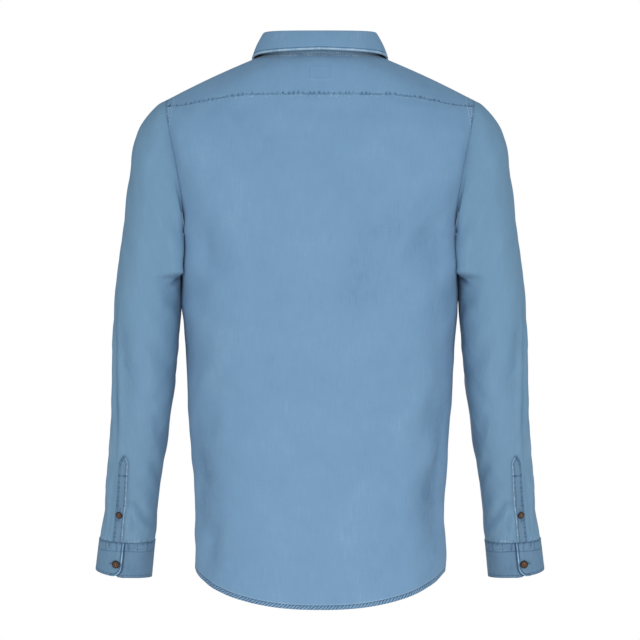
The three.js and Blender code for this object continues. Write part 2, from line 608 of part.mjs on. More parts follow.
// Point and outward direction halfway down a strip at a given height
function onStrip(grid, z) {
  const middle = grid.map((line) => line[1]);
  let r = 0;
  while (middle[r + 1].z < z) r += 1;
  const t = (z - middle[r].z) / (middle[r + 1].z - middle[r].z);
  const rise = middle[r + 1].clone().sub(middle[r]).normalize();
  return { point: middle[r].clone().lerp(middle[r + 1], t), outward: rise.cross(vec(1, 0, 0)).negate() };
}
FRONT_BUTTON_Z.forEach((z, i) => {
  const { point, outward } = onStrip(placketGrid, z);
  if (outward.y > 0) outward.negate();
  addButton(`front_button_${i + 1}`, BUTTON, point, outward, BUTTON_GAP);
});
{
  const base = neckline(180);
  const top = standTop(180);
  const rise = top.clone().sub(base).normalize();
  const outward = vec(0, -rise.z, rise.y);
  const point = base.lerp(top, 0.45).addScaledVector(UP, SEAM);
  addButton("stand_button", SMALL_BUTTON, point, outward, BUTTON_GAP);
}

// Both arms
[["left", 1], ["right", -1]].forEach(([name, side]) => {
  const mirror = (geometry) => {
    if (side > 0) return geometry;
    const made = geometry.clone().scale(-1, 1, 1);
    made.setIndex([...made.index.array].reverse());
    return made;
  };
  add(`sleeve_${name}`, mirror(sleeveShape));
  add(`sleeve_placket_${name}`, mirror(slitShape));
  add(`cuff_${name}`, mirror(cuffShape));
  const flip = (v) => vec(v.x * side, v.y, v.z);
  const slitSpot = onSleeve(sleeveGrid, SLIT.buttonRow, slitMiddle);
  const slitRise = onSleeve(sleeveGrid, SLIT.buttonRow - 0.3, slitMiddle).sub(slitSpot);
  const slitAcross = onSleeve(sleeveGrid, SLIT.buttonRow, 75).sub(onSleeve(sleeveGrid, SLIT.buttonRow, 60));
  const slitOut = slitRise.cross(slitAcross).normalize();
  if (slitOut.dot(fromSlit(slitSpot)) < 0) slitOut.negate();
  const slitLift = SLIT.lay + CLOTH + BUTTON_GAP;
  addButton(`sleeve_button_${name}`, SMALL_BUTTON, flip(slitSpot), flip(slitOut), slitLift);
  const cuffSpot = cuffPoint(CUFF_BUTTON.angle, CUFF_BUTTON.height);
  const cuffRise = cuffPoint(CUFF_BUTTON.angle, 0.9).sub(cuffSpot);
  const cuffSide = (turn) => cuffPoint(CUFF_BUTTON.angle + turn, CUFF_BUTTON.height);
  const cuffAcross = cuffSide(6).sub(cuffSide(-6));
  const cuffOut = cuffRise.cross(cuffAcross).normalize();
  if (cuffOut.dot(fromCuff(cuffSpot)) < 0) cuffOut.negate();
  addButton(`cuff_button_${name}`, BUTTON, flip(cuffSpot), flip(cuffOut), CUFF_PROUD + BUTTON_GAP + 0.2);
});

export default shirt;
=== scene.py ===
# Looks of the denim shirt: fine cloth shells, folds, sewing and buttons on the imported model.
# Sizes are in millimetres and become metres where a mesh is made. The shirt's front faces -Y.
import math

import bpy
import numpy as np
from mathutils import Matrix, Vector
from mathutils.bvhtree import BVHTree
from mathutils.kdtree import KDTree


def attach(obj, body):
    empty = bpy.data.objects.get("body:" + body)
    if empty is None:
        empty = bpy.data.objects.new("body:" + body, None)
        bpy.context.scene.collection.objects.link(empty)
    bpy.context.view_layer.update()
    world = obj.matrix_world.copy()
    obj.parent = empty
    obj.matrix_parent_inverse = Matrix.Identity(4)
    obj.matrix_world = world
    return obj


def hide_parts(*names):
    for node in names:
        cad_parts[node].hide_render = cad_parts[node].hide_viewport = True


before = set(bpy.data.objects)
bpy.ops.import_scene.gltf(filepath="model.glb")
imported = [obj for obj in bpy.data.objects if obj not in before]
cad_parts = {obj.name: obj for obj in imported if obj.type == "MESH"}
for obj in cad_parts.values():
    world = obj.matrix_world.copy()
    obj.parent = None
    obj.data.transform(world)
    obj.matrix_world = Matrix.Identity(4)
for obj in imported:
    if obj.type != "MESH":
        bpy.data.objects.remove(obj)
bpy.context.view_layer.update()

MM = 0.001
CLOTH = 1.5
DOUBLE = 2.2
LAY = 0.5
STEP = 15  # degrees of the armhole between two rows of a body panel

NECK = {"half": 80, "back": 62, "front": 60, "side_z": 2, "pit_z": -66, "dip": 1.6}
STAND = {"back": 26, "side": 26.5, "front": 26, "lean": 5, "lift": 0.3, "under_turn": 150}
UNDERARM_Z = -250
YOKE = {"seam_z": -58, "seam_bow": 0.5, "crown": 2.2, "corner_turn": 60, "front_turn": 120}
# Columns of the yoke: its corner at the armhole and its front seam, from 0 at the centre back
YOKE.update({"corner": 8, "front": 12, "corner_angle": 30})
# How steeply the yoke leaves the neck, in degrees
YOKE.update({"back_slope": 32, "side_slope": 25})
SCOOP = {"back": 5, "front": 11, "slant": 1.4}
SIDE_SWELL = 6.75  # how far a panel swells towards its side
PLACKET_HALF = 16
UNDER = {"shift": 2.3, "fade": 30, "end": 4}  # how the right front steps in beneath the left
SQUARENESS = {"torso": 2.4, "sleeve": 2.2}


def table(columns, rows):
    """A table as a dictionary of columns."""
    return dict(zip(columns.split(), np.array(rows, float).T))


# Sections of the torso from the hem to the underarm
TORSO = table(
    "side_z back_z front_z half back front",
    [
        (-704, -750.5, -732, 172.5, 123, 113),
        (-672, -708, -698, 171.5, 121, 114),
        (-628, -656, -648, 171.0, 119, 116),
        (-575, -590, -586, 174.0, 117, 118),
        (-516, -522, -520, 178.0, 117, 120),
        (-450, -451, -451, 182.5, 119, 122),
        (-380, -380, -380, 186.5, 123, 124),
        (-325, -325, -325, 190.6, 126.5, 125),
        (-250, -250, -250, 188.0, 129, 125),
    ],
)
UNDERARM_ROW = 8
HIGH_ROWS = 10  # rows from the underarm to the yoke
# How deep the shirt is at the centre back and the centre front, above the underarm
CENTRE_BACK = table("z depth", [(-250, 129), (-200, 129.5), (-150, 125), (-100, 114), (-58, 98)])
CENTRE_FRONT = table("z depth", [(-250, 125), (-200, 120), (-150, 108), (-100, 86), (-66, 60)])
# Rows of the fronts from the underarm to the pit of the neck, and how full every row is
CHEST_Z = [-250, -222, -192, -160, -128, -97, -66]
CHEST_FULLNESS = [0, 2, 5, 10, 15, 19, 22, 20, 15, 9, 3]
PIT_ROW = UNDERARM_ROW + 6
TOP_ROW = UNDERARM_ROW + HIGH_ROWS

# Rings of a sleeve from the armhole to the cuff
SLEEVE = table(
    "out_x out_z in_x in_z mid_y half lean",
    [
        (212.0, -59.5, 188.0, -250, 0, 68.0, 0),
        (225.0, -66.3, 189.2, -256, 0, 70.0, 0),
        (240.0, -83, 189.5, -265, 0, 71.0, 0),
        (252.0, -105, 189.9, -275, 0, 71.5, 0),
        (260.0, -138, 190.4, -288, 1, 71.5, 0),
        (265.0, -180, 191.0, -304, 2, 71.0, 0),
        (271.0, -230, 191.4, -324, 2, 70.0, 0),
        (278.0, -288, 191.2, -350, 3, 69.0, 1),
        (284.0, -350, 194.5, -386, 3, 67.5, 2),
        (286.5, -410, 198.0, -428, 1, 65.0, 3),
        (287.5, -468, 204.0, -476, -4, 61.0, 4),
        (290.0, -524, 212.0, -527, -14, 56.0, 4),
        (294.0, -576, 221.0, -577, -27, 51.0, 4),
        (300.0, -624, 227.0, -625, -43, 46.0, 4),
        (308.0, -667, 231.0, -670, -57, 40.0, 4),
    ],
)
SLEEVE_ROWS = 14
CUFF_END = {"out_x": 314, "out_z": -709, "in_x": 237, "in_z": -722, "mid_y": -70, "half": 38.5, "lean": 0}
CUFF_DROP = 6  # how far the cuff's end hangs lower at the back of the wrist
CUFF_OVER_END = 87.5
CUFF_LAP = 22
CUFF_BUTTON = {"angle": 77, "height": 0.37}
CUFF_PROUD = 0.8
CUFF_CORNER = 12
# The strip over the sleeve's slit. from and to are degrees at its top and its bottom; top, point,
# box (the lower side of its box stitch), bottom and button are rows of the sleeve.
SLIT = {"from": (61, 65.5), "to": (79.8, 84.5), "top": 11.6, "point": 11.37, "box": 11.92}
SLIT.update({"bottom": 13.97, "button": 13.08, "lay": 0.8, "round": 1.7})

LEAF_EDGE = table(
    "turn out up swing",
    [
        (0, 21, -21.5, 0),
        (45, 20, -24.2, 0),
        (90, 19, -29.0, 0),
        (120, 24, -34.3, 2),
        (150, 34, -42.0, 12),
        (178, 42, -50.0, 38),
    ],
)
# The roll of the leaf over the stand: its outer face and its inner one
LEAF_ROLL = table(
    "out up in_out in_up",
    [(-2.2, 0.95, 0, 0.95), (-2, 3, 0.2, 2.4), (0.8, 5.4, 1, 3), (3.8, 3.8, 1.8, 2.4)],
)

FRONT_BUTTON_Z = [-110, -200, -290, -380, -470, -560]

# Folds of the cloth. a is the distance round from the centre back or front, or degrees
# round a sleeve; b is the height. A fold runs from a0, b0 to a1, b1.
FOLD_COLUMNS = "a0 b0 a1 b1 width depth"
BACK_FOLDS = table(
    FOLD_COLUMNS,
    [
        (178, -540, 158, -690, 26, -3.4),
        (-174, -520, -162, -700, 27, -3.4),
        (120, -600, 96, -725, 26, -1.0),
        (-110, -590, -88, -720, 28, -1.1),
        (192, -320, 160, -350, 15, -1.4),
        (-194, -324, -158, -356, 15, -1.4),
        (202, -236, 202, -304, 24, 7.0),
        (-202, -236, -202, -304, 24, 7.0),
        (196, -410, 172, -520, 22, -2.0),
        (-192, -400, -174, -510, 22, -2.0),
        (30, -140, 60, -330, 40, -1.0),
        (-42, -150, -70, -360, 44, -1.1),
    ],
)
FRONT_FOLDS = table(
    FOLD_COLUMNS,
    [
        (170, -560, 140, -690, 26, -4.0),
        (95, -600, 84, -720, 22, 2.2),
        (200, -270, 150, -345, 15, -2.2),
        (202, -215, 176, -262, 10, -1.5),
        (60, -470, 52, -640, 24, -1.5),
        (40, -110, 70, -220, 20, -1.0),
    ],
)
SLEEVE_FOLDS = table(
    FOLD_COLUMNS,
    [
        (33, -372, 54, -600, 6, -3.8),
        (44, -390, 60, -560, 8, 1.4),
        (22, -400, 24, -640, 9, 1.4),
        (92, -622, 142, -644, 6, -3.6),
        (90, -634, 102, -658, 4, -3.0),
        (100, -604, 146, -624, 8, 2.0),
        (118, -156, 138, -196, 9, -2.4),
        (128, -560, 168, -590, 9, -1.8),
        (120, -500, 165, -540, 12, -1.6),
        (138, -314, 168, -302, 3.5, -3.2),
        (128, -330, 168, -352, 9, -1.6),
        (110, -232, 150, -262, 9, -1.4),
        (100, -400, 160, -440, 14, -1.6),
        (48, -600, 50, -660, 7, -2.4),
        (22, -610, 30, -660, 8, -2.0),
        (-165, -385, -100, -410, 10, -3.0),
        (-160, -425, -95, -462, 11, -3.4),
        (-150, -480, -90, -505, 10, -2.6),
        (-172, -300, -128, -322, 9, -2.6),
        (-150, -560, -100, -590, 9, -2.2),
        (-60, -560, -50, -640, 10, -2.6),
        (-30, -500, -36, -650, 12, -2.0),
        (60, -380, 72, -470, 16, -1.2),
    ],
)
SLEEVE_DEGREE = 1.05  # millimetres round a sleeve for a degree of angle


def mix(a, b, t):
    return a + (b - a) * t


def ease(t):
    t = np.clip(t, 0, 1)
    return t * t * (3 - 2 * t)


def between(value, low, low_fade, high, high_fade):
    """1 inside the limits low and high, falling softly to 0 at each of them."""
    return ease((value - low) / low_fade) * ease((high - value) / high_fade)


def power(value, exponent):
    return np.sign(value) * np.abs(value) ** exponent


def unit(vectors):
    size = np.linalg.norm(vectors, axis=-1, keepdims=True)
    return vectors / np.maximum(size, 1e-9)


def hermite(start, leave, end, arrive, t):
    """A smooth curve from start to end with the slopes leave and arrive, at t of 0 to 1."""
    return (
        start * (2 * t**3 - 3 * t**2 + 1)
        + leave * (t**3 - 2 * t**2 + t)
        + end * (3 * t**2 - 2 * t**3)
        + arrive * (t**3 - t**2)
    )


def spline(knots, values, at):
    """A smooth curve through values at knots, read at any place."""
    knots = np.asarray(knots, float)
    values = np.asarray(values, float)
    slopes = np.gradient(values, knots, axis=0)
    i = np.clip(np.searchsorted(knots, at, side="right") - 1, 0, len(knots) - 2)
    width = knots[i + 1] - knots[i]
    t = (at - knots[i]) / width
    return hermite(values[i], slopes[i] * width, values[i + 1], slopes[i + 1] * width, t)


def by_row(values, row):
    return spline(np.arange(len(values)), values, row)


def points(x, y, z):
    return np.stack(np.broadcast_arrays(x, y, z), axis=-1).astype(float)


def on_side(grid, sign):
    """Points of the wearer's left side, or their mirror image where sign is -1."""
    return grid * np.array([sign, 1.0, 1.0])


def mirrored(grid):
    return on_side(grid, -1)


def flattened(vectors):
    """Vectors without their height: for a point, the way out from the shirt's upright axis."""
    return vectors * np.array([1.0, 1.0, 0.0])


# Shared curves of the cut
def neckline(turn):
    c = np.cos(np.radians(turn))
    depth = np.where(c > 0, NECK["back"], NECK["front"])
    back_fall = NECK["side_z"] * c * c
    front_fall = (NECK["side_z"] - NECK["pit_z"]) * np.abs(c) ** NECK["dip"]
    fall = np.where(c > 0, back_fall, front_fall)
    return points(NECK["half"] * np.sin(np.radians(turn)), depth * c, NECK["side_z"] - fall)


def ring_point(ring, angle):
    across = power(np.cos(np.radians(angle)), 2 / SQUARENESS["sleeve"])
    deep = power(np.sin(np.radians(angle)), 2 / SQUARENESS["sleeve"])
    lean = np.radians(ring["lean"])
    return points(
        (ring["out_x"] + ring["in_x"]) / 2 + (ring["out_x"] - ring["in_x"]) / 2 * across,
        ring["mid_y"] + ring["half"] * deep * np.cos(lean),
        (ring["out_z"] + ring["in_z"]) / 2
        + (ring["out_z"] - ring["in_z"]) / 2 * across
        - ring["half"] * deep * np.sin(lean),
    )


def armhole(angle):
    ring = {key: column[0] for key, column in SLEEVE.items()}
    p = ring_point(ring, angle)
    deep = np.sin(np.radians(angle))
    back = SCOOP["back"] * (1 - SCOOP["slant"] * np.cos(np.radians(angle)))
    p[..., 0] -= np.where(deep > 0, back, SCOOP["front"]) * deep * deep
    return p


def sleeve_ring(row):
    return {key: by_row(column, row) for key, column in SLEEVE.items()}


# Body panels. A row runs from the centre (share 0) to the side (share 1).
def row_points(start, end, bow, fullness, swell, level, share):
    turn = share * math.pi / 2
    exponent = 2 / SQUARENESS["torso"]
    along = mix(share, np.sin(turn) ** exponent, bow)
    deep = mix(1 - share, np.maximum(np.cos(turn), 0) ** exponent, bow)
    return points(
        mix(start[..., 0], end[..., 0], along),
        mix(end[..., 1], start[..., 1], deep) + fullness * swell,
        mix(start[..., 2], end[..., 2], level),
    )


def side_end(row, side):
    """Where a row ends: on the side seam, or on the armhole above the underarm."""
    low = np.minimum(row, UNDERARM_ROW)
    seam = points(by_row(TORSO["half"], low), 0, by_row(TORSO["side_z"], low))
    hole = armhole(side * (180 - STEP * np.maximum(row - UNDERARM_ROW, 0)))
    return np.where((row <= UNDERARM_ROW)[..., None], seam, hole)


def torso_level(share):
    return 1 - np.maximum(np.cos(share * math.pi / 2), 0) ** 1.5


def back_surface(row, share):
    t = np.clip((row - UNDERARM_ROW) / HIGH_ROWS, 0, 1)
    up = np.arange(1, HIGH_ROWS + 1) / HIGH_ROWS
    high_z = mix(UNDERARM_Z, YOKE["seam_z"], up)
    high_y = np.interp(high_z, CENTRE_BACK["z"], CENTRE_BACK["depth"])
    start_y = by_row(np.concatenate([TORSO["back"], high_y]), row)
    start_z = by_row(np.concatenate([TORSO["back_z"], high_z]), row)
    above = mix(share**2, ease((share - 0.3) / 0.6), t * t)
    return row_points(
        points(0, start_y, start_z),
        side_end(row, 1),
        mix(1, YOKE["seam_bow"], t),
        6 * np.sin(math.pi * t) * t,
        SIDE_SWELL * share**2 * (1 - share),
        np.where(row <= UNDERARM_ROW, torso_level(share), above),
        share,
    )


def front_surface(row, share):
    t = np.clip((row - UNDERARM_ROW) / HIGH_ROWS, 0, 1)
    high_y = np.interp(CHEST_Z[1:], CENTRE_FRONT["z"], CENTRE_FRONT["depth"])
    low_row = np.minimum(row, PIT_ROW)
    centre_y = by_row(-np.concatenate([TORSO["front"], high_y]), low_row)
    centre_z = by_row(np.concatenate([TORSO["front_z"], CHEST_Z[1:]]), low_row)
    on_neck = neckline(180 - STEP * np.maximum(row - PIT_ROW, 0))
    start = np.where((row <= PIT_ROW)[..., None], points(0, centre_y, centre_z), on_neck)
    fullness = by_row(np.concatenate([np.zeros(UNDERARM_ROW), CHEST_FULLNESS]), row)
    neck_share = ease(row - PIT_ROW)
    swell = mix(SIDE_SWELL * share**2 * (1 - share), np.sin(math.pi * share), neck_share)
    level = mix(share**2, mix(share**2, share, t), neck_share)
    return row_points(
        start,
        side_end(row, -1),
        mix(1, 0.1, t),
        -fullness,
        swell,
        np.where(row <= UNDERARM_ROW, torso_level(share), level),
        share,
    )


def yoke_surface(column, t):
    """Points of the yoke: column runs round the neck, t from the neck to the seams."""
    corner, corner_angle = YOKE["corner"], YOKE["corner_angle"]
    share = np.clip(column / corner, 0, 1)
    seam_row = np.full_like(share, TOP_ROW)
    seam = back_surface(seam_row, share)
    down = unit(back_surface(seam_row - 1, share) - seam)
    angle = corner_angle - STEP * np.maximum(column - corner, 0)
    end = np.where((column <= corner)[..., None], seam, armhole(angle))
    down = np.where((column <= corner)[..., None], down, [0.0, 0.0, 1.0])
    turn = YOKE["corner_turn"] * share
    turn = turn + (YOKE["front_turn"] - YOKE["corner_turn"]) * (corner_angle - angle) / 60
    start = neckline(turn)
    chord = end - start
    length = np.linalg.norm(chord, axis=-1, keepdims=True)
    slope = mix(YOKE["back_slope"], YOKE["side_slope"], np.clip(turn / 90, 0, 1))
    slope = np.radians(slope)[..., None]
    leave = unit(flattened(chord)) * np.cos(slope) - np.array([0.0, 0.0, 1.0]) * np.sin(slope)
    reach = unit(mix(chord / length, down, (1 - ease(share))[..., None]))
    p = hermite(start, leave * length, end, reach * length, t[..., None])
    p[..., 2] += YOKE["crown"] * np.sin(math.pi * t)
    front = front_surface(np.full_like(t, TOP_ROW), t)
    return mix(p, front, ease(column - YOKE["front"] + 1)[..., None])


# Grids: normals, lengths, distances to edges, unevenness and folds
def grid_normals(grid, outward, wrap=False):
    """Unit normals of a grid of points, on the side that outward points to."""
    padded = np.concatenate([grid[:, -2:-1], grid, grid[:, 1:2]], axis=1) if wrap else grid
    across = np.gradient(padded, axis=1)
    across = across[:, 1:-1] if wrap else across
    normal = unit(np.cross(across, np.gradient(grid, axis=0)))
    sign = np.sign(np.sum(normal * outward, axis=-1, keepdims=True))
    return normal * np.where(sign == 0, 1, sign)


def lengths(grid, axis):
    """Length along the rows or columns of a grid, from its first line."""
    step = np.linalg.norm(np.diff(grid, axis=axis), axis=-1)
    total = np.cumsum(step, axis=axis)
    pad = [(1, 0), (0, 0)] if axis == 0 else [(0, 0), (1, 0)]
    return np.pad(total, pad)


def resampled(curve, step):
    size = np.linalg.norm(np.diff(curve, axis=0), axis=1)
    arc = np.concatenate([[0], np.cumsum(size)])
    count = max(int(arc[-1] / step), 2)
    at = np.linspace(0, arc[-1], count + 1)
    return np.stack([np.interp(at, arc, curve[:, k]) for k in range(3)], axis=1), at


def edge_distance(grid, curve):
    """How far each point lies from an edge, and how far along it."""
    fine, arc = resampled(curve, 0.5)
    tree = KDTree(len(fine))
    for i, p in enumerate(fine):
        tree.insert(p, i)
    tree.balance()
    flat = grid.reshape(-1, 3)
    found = [tree.find(p) for p in flat]
    distance = np.array([f[2] for f in found])
    along = arc[[f[1] for f in found]]
    return np.stack([distance, along, np.zeros(len(flat))], axis=1).reshape(grid.shape)


def uneven(a, b, size, seed, count=8):
    """Smooth unevenness of about -1 to 1, with bumps of about the given size."""
    rng = np.random.default_rng(seed)
    total = 0
    for _ in range(count):
        turn = rng.uniform(0, 2 * math.pi)
        wave = size * rng.uniform(1.2, 2.6)
        phase = rng.uniform(0, 2 * math.pi)
        total = total + np.sin(2 * math.pi * (a * math.cos(turn) + b * math.sin(turn)) / wave + phase)
    return total / math.sqrt(count)


# A fold: how it sways, how uneven it is along its length, the ridges that line it, its soft ends
FOLD = {"wobble": 45, "sway": 0.35, "patch": 60, "change": 0.3, "ridge": 0.3, "ridge_at": 1.9}
FOLD.update({"past": 0.35, "taper": 0.6})


def fold_heights(folds, a, b, seed):
    """Soft troughs and ridges along the lines of a fold table."""
    height = np.zeros(np.broadcast(a, b).shape)
    wobble = uneven(a, b, FOLD["wobble"], seed)
    for i in range(len(folds["a0"])):
        start = np.array([folds["a0"][i], folds["b0"][i]])
        run = np.array([folds["a1"][i], folds["b1"][i]]) - start
        size = np.hypot(*run)
        along = ((a - start[0]) * run[0] + (b - start[1]) * run[1]) / size**2
        off = ((a - start[0]) * run[1] - (b - start[1]) * run[0]) / size
        width = folds["width"][i]
        off = off + wobble * width * FOLD["sway"]
        taper = between(along, -FOLD["past"], FOLD["taper"], 1 + FOLD["past"], FOLD["taper"])
        ridges = np.exp(-(((np.abs(off) - FOLD["ridge_at"] * width) / width) ** 2))
        trough = np.exp(-((off / width) ** 2)) - FOLD["ridge"] * ridges
        uneven_depth = 1 + FOLD["change"] * uneven(a, b, FOLD["patch"], seed + 7 + i)
        height += folds["depth"][i] * trough * taper * uneven_depth
    return height


# Meshes
SHARP_EDGE = 55  # degrees
ALL = slice(None)


class Cloth:
    """A piece of cloth: a wall between two grids, with the attributes its finish reads."""

    def __init__(self, name, outer, outward, wall=CLOTH, wrap=False, keep=None, inner=None, lift=0.0):
        self.name = name
        self.outer = outer
        self.wrap = wrap
        self.normal = grid_normals(outer, outward, wrap)
        self.inner = outer - self.normal * wall if inner is None else inner
        rows, columns = outer.shape[:2]
        self.keep = np.ones((rows - 1, columns - 1), bool) if keep is None else keep
        self.attributes = {}
        self.curves = {}
        across = lengths(outer, 1)
        middle = 0 if wrap else columns // 2
        across = across - across[:, middle : middle + 1]
        self.cloth = np.stack([across, lengths(outer, 0), across * 0 + lift], axis=-1)

    def edges(self, **lines):
        """Names lines of the outer grid as edges, and measures every point against them."""
        for name, line in lines.items():
            self.curves[name] = self.outer[line]
            self.attributes[name] = edge_distance(self.outer, self.curves[name])

    def bvh(self):
        rows, columns = self.outer.shape[:2]
        index = np.arange(rows * columns).reshape(rows, columns)
        quads = np.stack([index[:-1, :-1], index[:-1, 1:], index[1:, 1:], index[1:, :-1]], axis=-1)
        return BVHTree.FromPolygons(self.outer.reshape(-1, 3).tolist(), quads[self.keep].tolist())

    def build(self, outside, inside):
        rows, columns = self.outer.shape[:2]
        across = columns - 1 if self.wrap else columns
        index = np.arange(rows)[:, None] * across + np.arange(columns)[None, :] % across
        size = rows * across
        keep = np.pad(self.keep, 1, mode="wrap" if self.wrap else "constant")
        if self.wrap:
            keep[0] = False
            keep[-1] = False
        kept = keep[1:-1, 1:-1]
        corner = [index[:-1, :-1], index[:-1, 1:], index[1:, 1:], index[1:, :-1]]
        outer = np.stack(corner, axis=-1)[kept]
        inner = np.stack(corner[::-1], axis=-1)[kept] + size
        rims = []
        for neighbour, (i, j) in (
            (keep[:-2, 1:-1], (0, 1)),
            (keep[1:-1, 2:], (1, 2)),
            (keep[2:, 1:-1], (2, 3)),
            (keep[1:-1, :-2], (3, 0)),
        ):
            open_edge = kept & ~neighbour
            a, b = corner[i][open_edge], corner[j][open_edge]
            rims.append(np.stack([b, a, a + size, b + size], axis=-1))
        faces = np.concatenate([outer, inner, *rims])

        def listed(values):
            return values[:, :across].reshape(-1, 3)

        verts = np.concatenate([listed(self.outer), listed(self.inner)])
        a, b, c, d = (verts[faces[:, k]] for k in range(4))
        volume = np.sum(a * np.cross(b, c)) + np.sum(a * np.cross(c, d))
        if volume < 0:
            faces = faces[:, ::-1]
        used, compact = np.unique(faces, return_inverse=True)
        faces = compact.reshape(faces.shape)
        mesh = bpy.data.meshes.new(self.name)
        mesh.from_pydata((verts[used] * MM).tolist(), [], faces.tolist())
        slots = np.zeros(len(faces), int)
        slots[len(outer) : len(outer) + len(inner)] = 1
        mesh.polygons.foreach_set("material_index", slots)
        mesh.polygons.foreach_set("use_smooth", np.ones(len(faces), bool))
        for name, values in [("cloth", self.cloth), *self.attributes.items()]:
            both = np.concatenate([listed(values), listed(values)])[used]
            layer = mesh.attributes.new(name, "FLOAT_VECTOR", "POINT")
            layer.data.foreach_set("vector", both.ravel().astype(np.float32))
        mesh.materials.append(outside)
        mesh.materials.append(inside)
        mesh.set_sharp_from_angle(angle=math.radians(SHARP_EDGE))
        mesh.update()
        return added(self.name, mesh)


def added(name, data):
    """A new object of the scene with the given mesh, light or camera."""
    obj = bpy.data.objects.new(name, data)
    bpy.context.collection.objects.link(obj)
    return obj


def settle(obj, *nodes, slot="denim"):
    """Rides an object on the only body, in place of the nodes that it covers."""
    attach(obj, "root")
    if nodes:
        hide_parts(*nodes)
    return obj


# Sewing
STITCH = {"pitch": 3.0, "length": 2.3, "thick": 0.34, "lift": 0.08}
# A bar of thread: corners of its middle section, its two tips, and its faces
BAR = [(0, 0, 1), (0.32, 1, 0), (0.32, -1, 0), (-0.32, 1, 0), (-0.32, -1, 0), (0, 0, -1)]
BAR += [(0.5, 0, 0), (-0.5, 0, 0)]
BAR_FACES = [(6, 1, 0), (6, 0, 2), (6, 5, 1), (6, 2, 5), (7, 0, 3), (7, 4, 0), (7, 3, 5), (7, 5, 4)]
BAR_FACES += [(0, 1, 3), (0, 4, 2), (5, 3, 1), (5, 2, 4)]
sewing = {}


def bars(name, centres, up, run, length, thick):
    """Adds small thread bars along run to the sewing of a name. up and run are one or many."""
    ups, runs = np.broadcast_to(up, centres.shape), np.broadcast_to(run, centres.shape)
    sewing.setdefault(name, []).append((centres, ups, runs, length, thick))


def seam_path(cloth, curve, inset, side):
    """Points and normals of a line on the cloth, a distance in from one of its edges."""
    tree = cloth.bvh()
    base, _ = resampled(curve, 1.0)
    tangent = unit(np.gradient(base, axis=0))
    spots = []
    normals = []
    for p, t in zip(base, tangent):
        hit = tree.find_nearest(Vector(p))
        inward = hit[1].cross(Vector(t)).normalized() * side
        hit = tree.find_nearest(hit[0] + inward * inset)
        spots.append(hit[0])
        normals.append(hit[1])
    return np.array(spots), np.array(normals)


def flipped_out(cloth, spots, normals):
    """Turns normals to the cloth's outer side."""
    flat = cloth.outer.reshape(-1, 3)
    out = cloth.normal.reshape(-1, 3)
    step = max(len(spots) // 12, 1)
    picks = [int(np.argmin(np.sum((flat - p) ** 2, axis=1))) for p in spots[::step]]
    signs = np.sign(np.sum(out[picks] * normals[::step], axis=1))
    return normals * (1 if np.sum(signs) >= 0 else -1)


def topstitch(name, cloth, edge, inset, side):
    """Sews a row of stitches along an edge. side is 1 or -1, for the side the cloth is on."""
    spots, normals = seam_path(cloth, cloth.curves[edge], inset, side)
    normals = flipped_out(cloth, spots, normals)
    path, _ = resampled(spots, STITCH["pitch"])
    size = len(spots)
    at = np.linspace(0, size - 1, len(path))
    ups = np.stack([np.interp(at, np.arange(size), normals[:, k]) for k in range(3)], axis=1)
    runs = unit(np.gradient(path, axis=0))
    bars(name, path + ups * STITCH["lift"], ups, runs, STITCH["length"], STITCH["thick"])


def build_sewing(name, material):
    """One mesh of all the thread bars of a name."""
    local = np.array(BAR, float)
    verts = []
    polys = []
    count = 0
    for centres, ups, runs, length, thick in sewing[name]:
        sides = np.cross(ups, runs)
        grown = local * [length, thick / 2, thick / 2]
        made = centres[:, None]
        for k, way in enumerate((runs, sides, ups)):
            made = made + way[:, None] * grown[None, :, k : k + 1]
        verts.append(made.reshape(-1, 3))
        base = np.arange(len(centres))[:, None, None] * len(local) + count
        polys.append((base + np.array(BAR_FACES)[None]).reshape(-1, 3))
        count += made.shape[0] * made.shape[1]
    mesh = bpy.data.meshes.new(name)
    mesh.from_pydata((np.concatenate(verts) * MM).tolist(), [], np.concatenate(polys).tolist())
    mesh.polygons.foreach_set("use_smooth", np.ones(len(mesh.polygons), bool))
    mesh.materials.append(material)
    return settle(added(name, mesh))


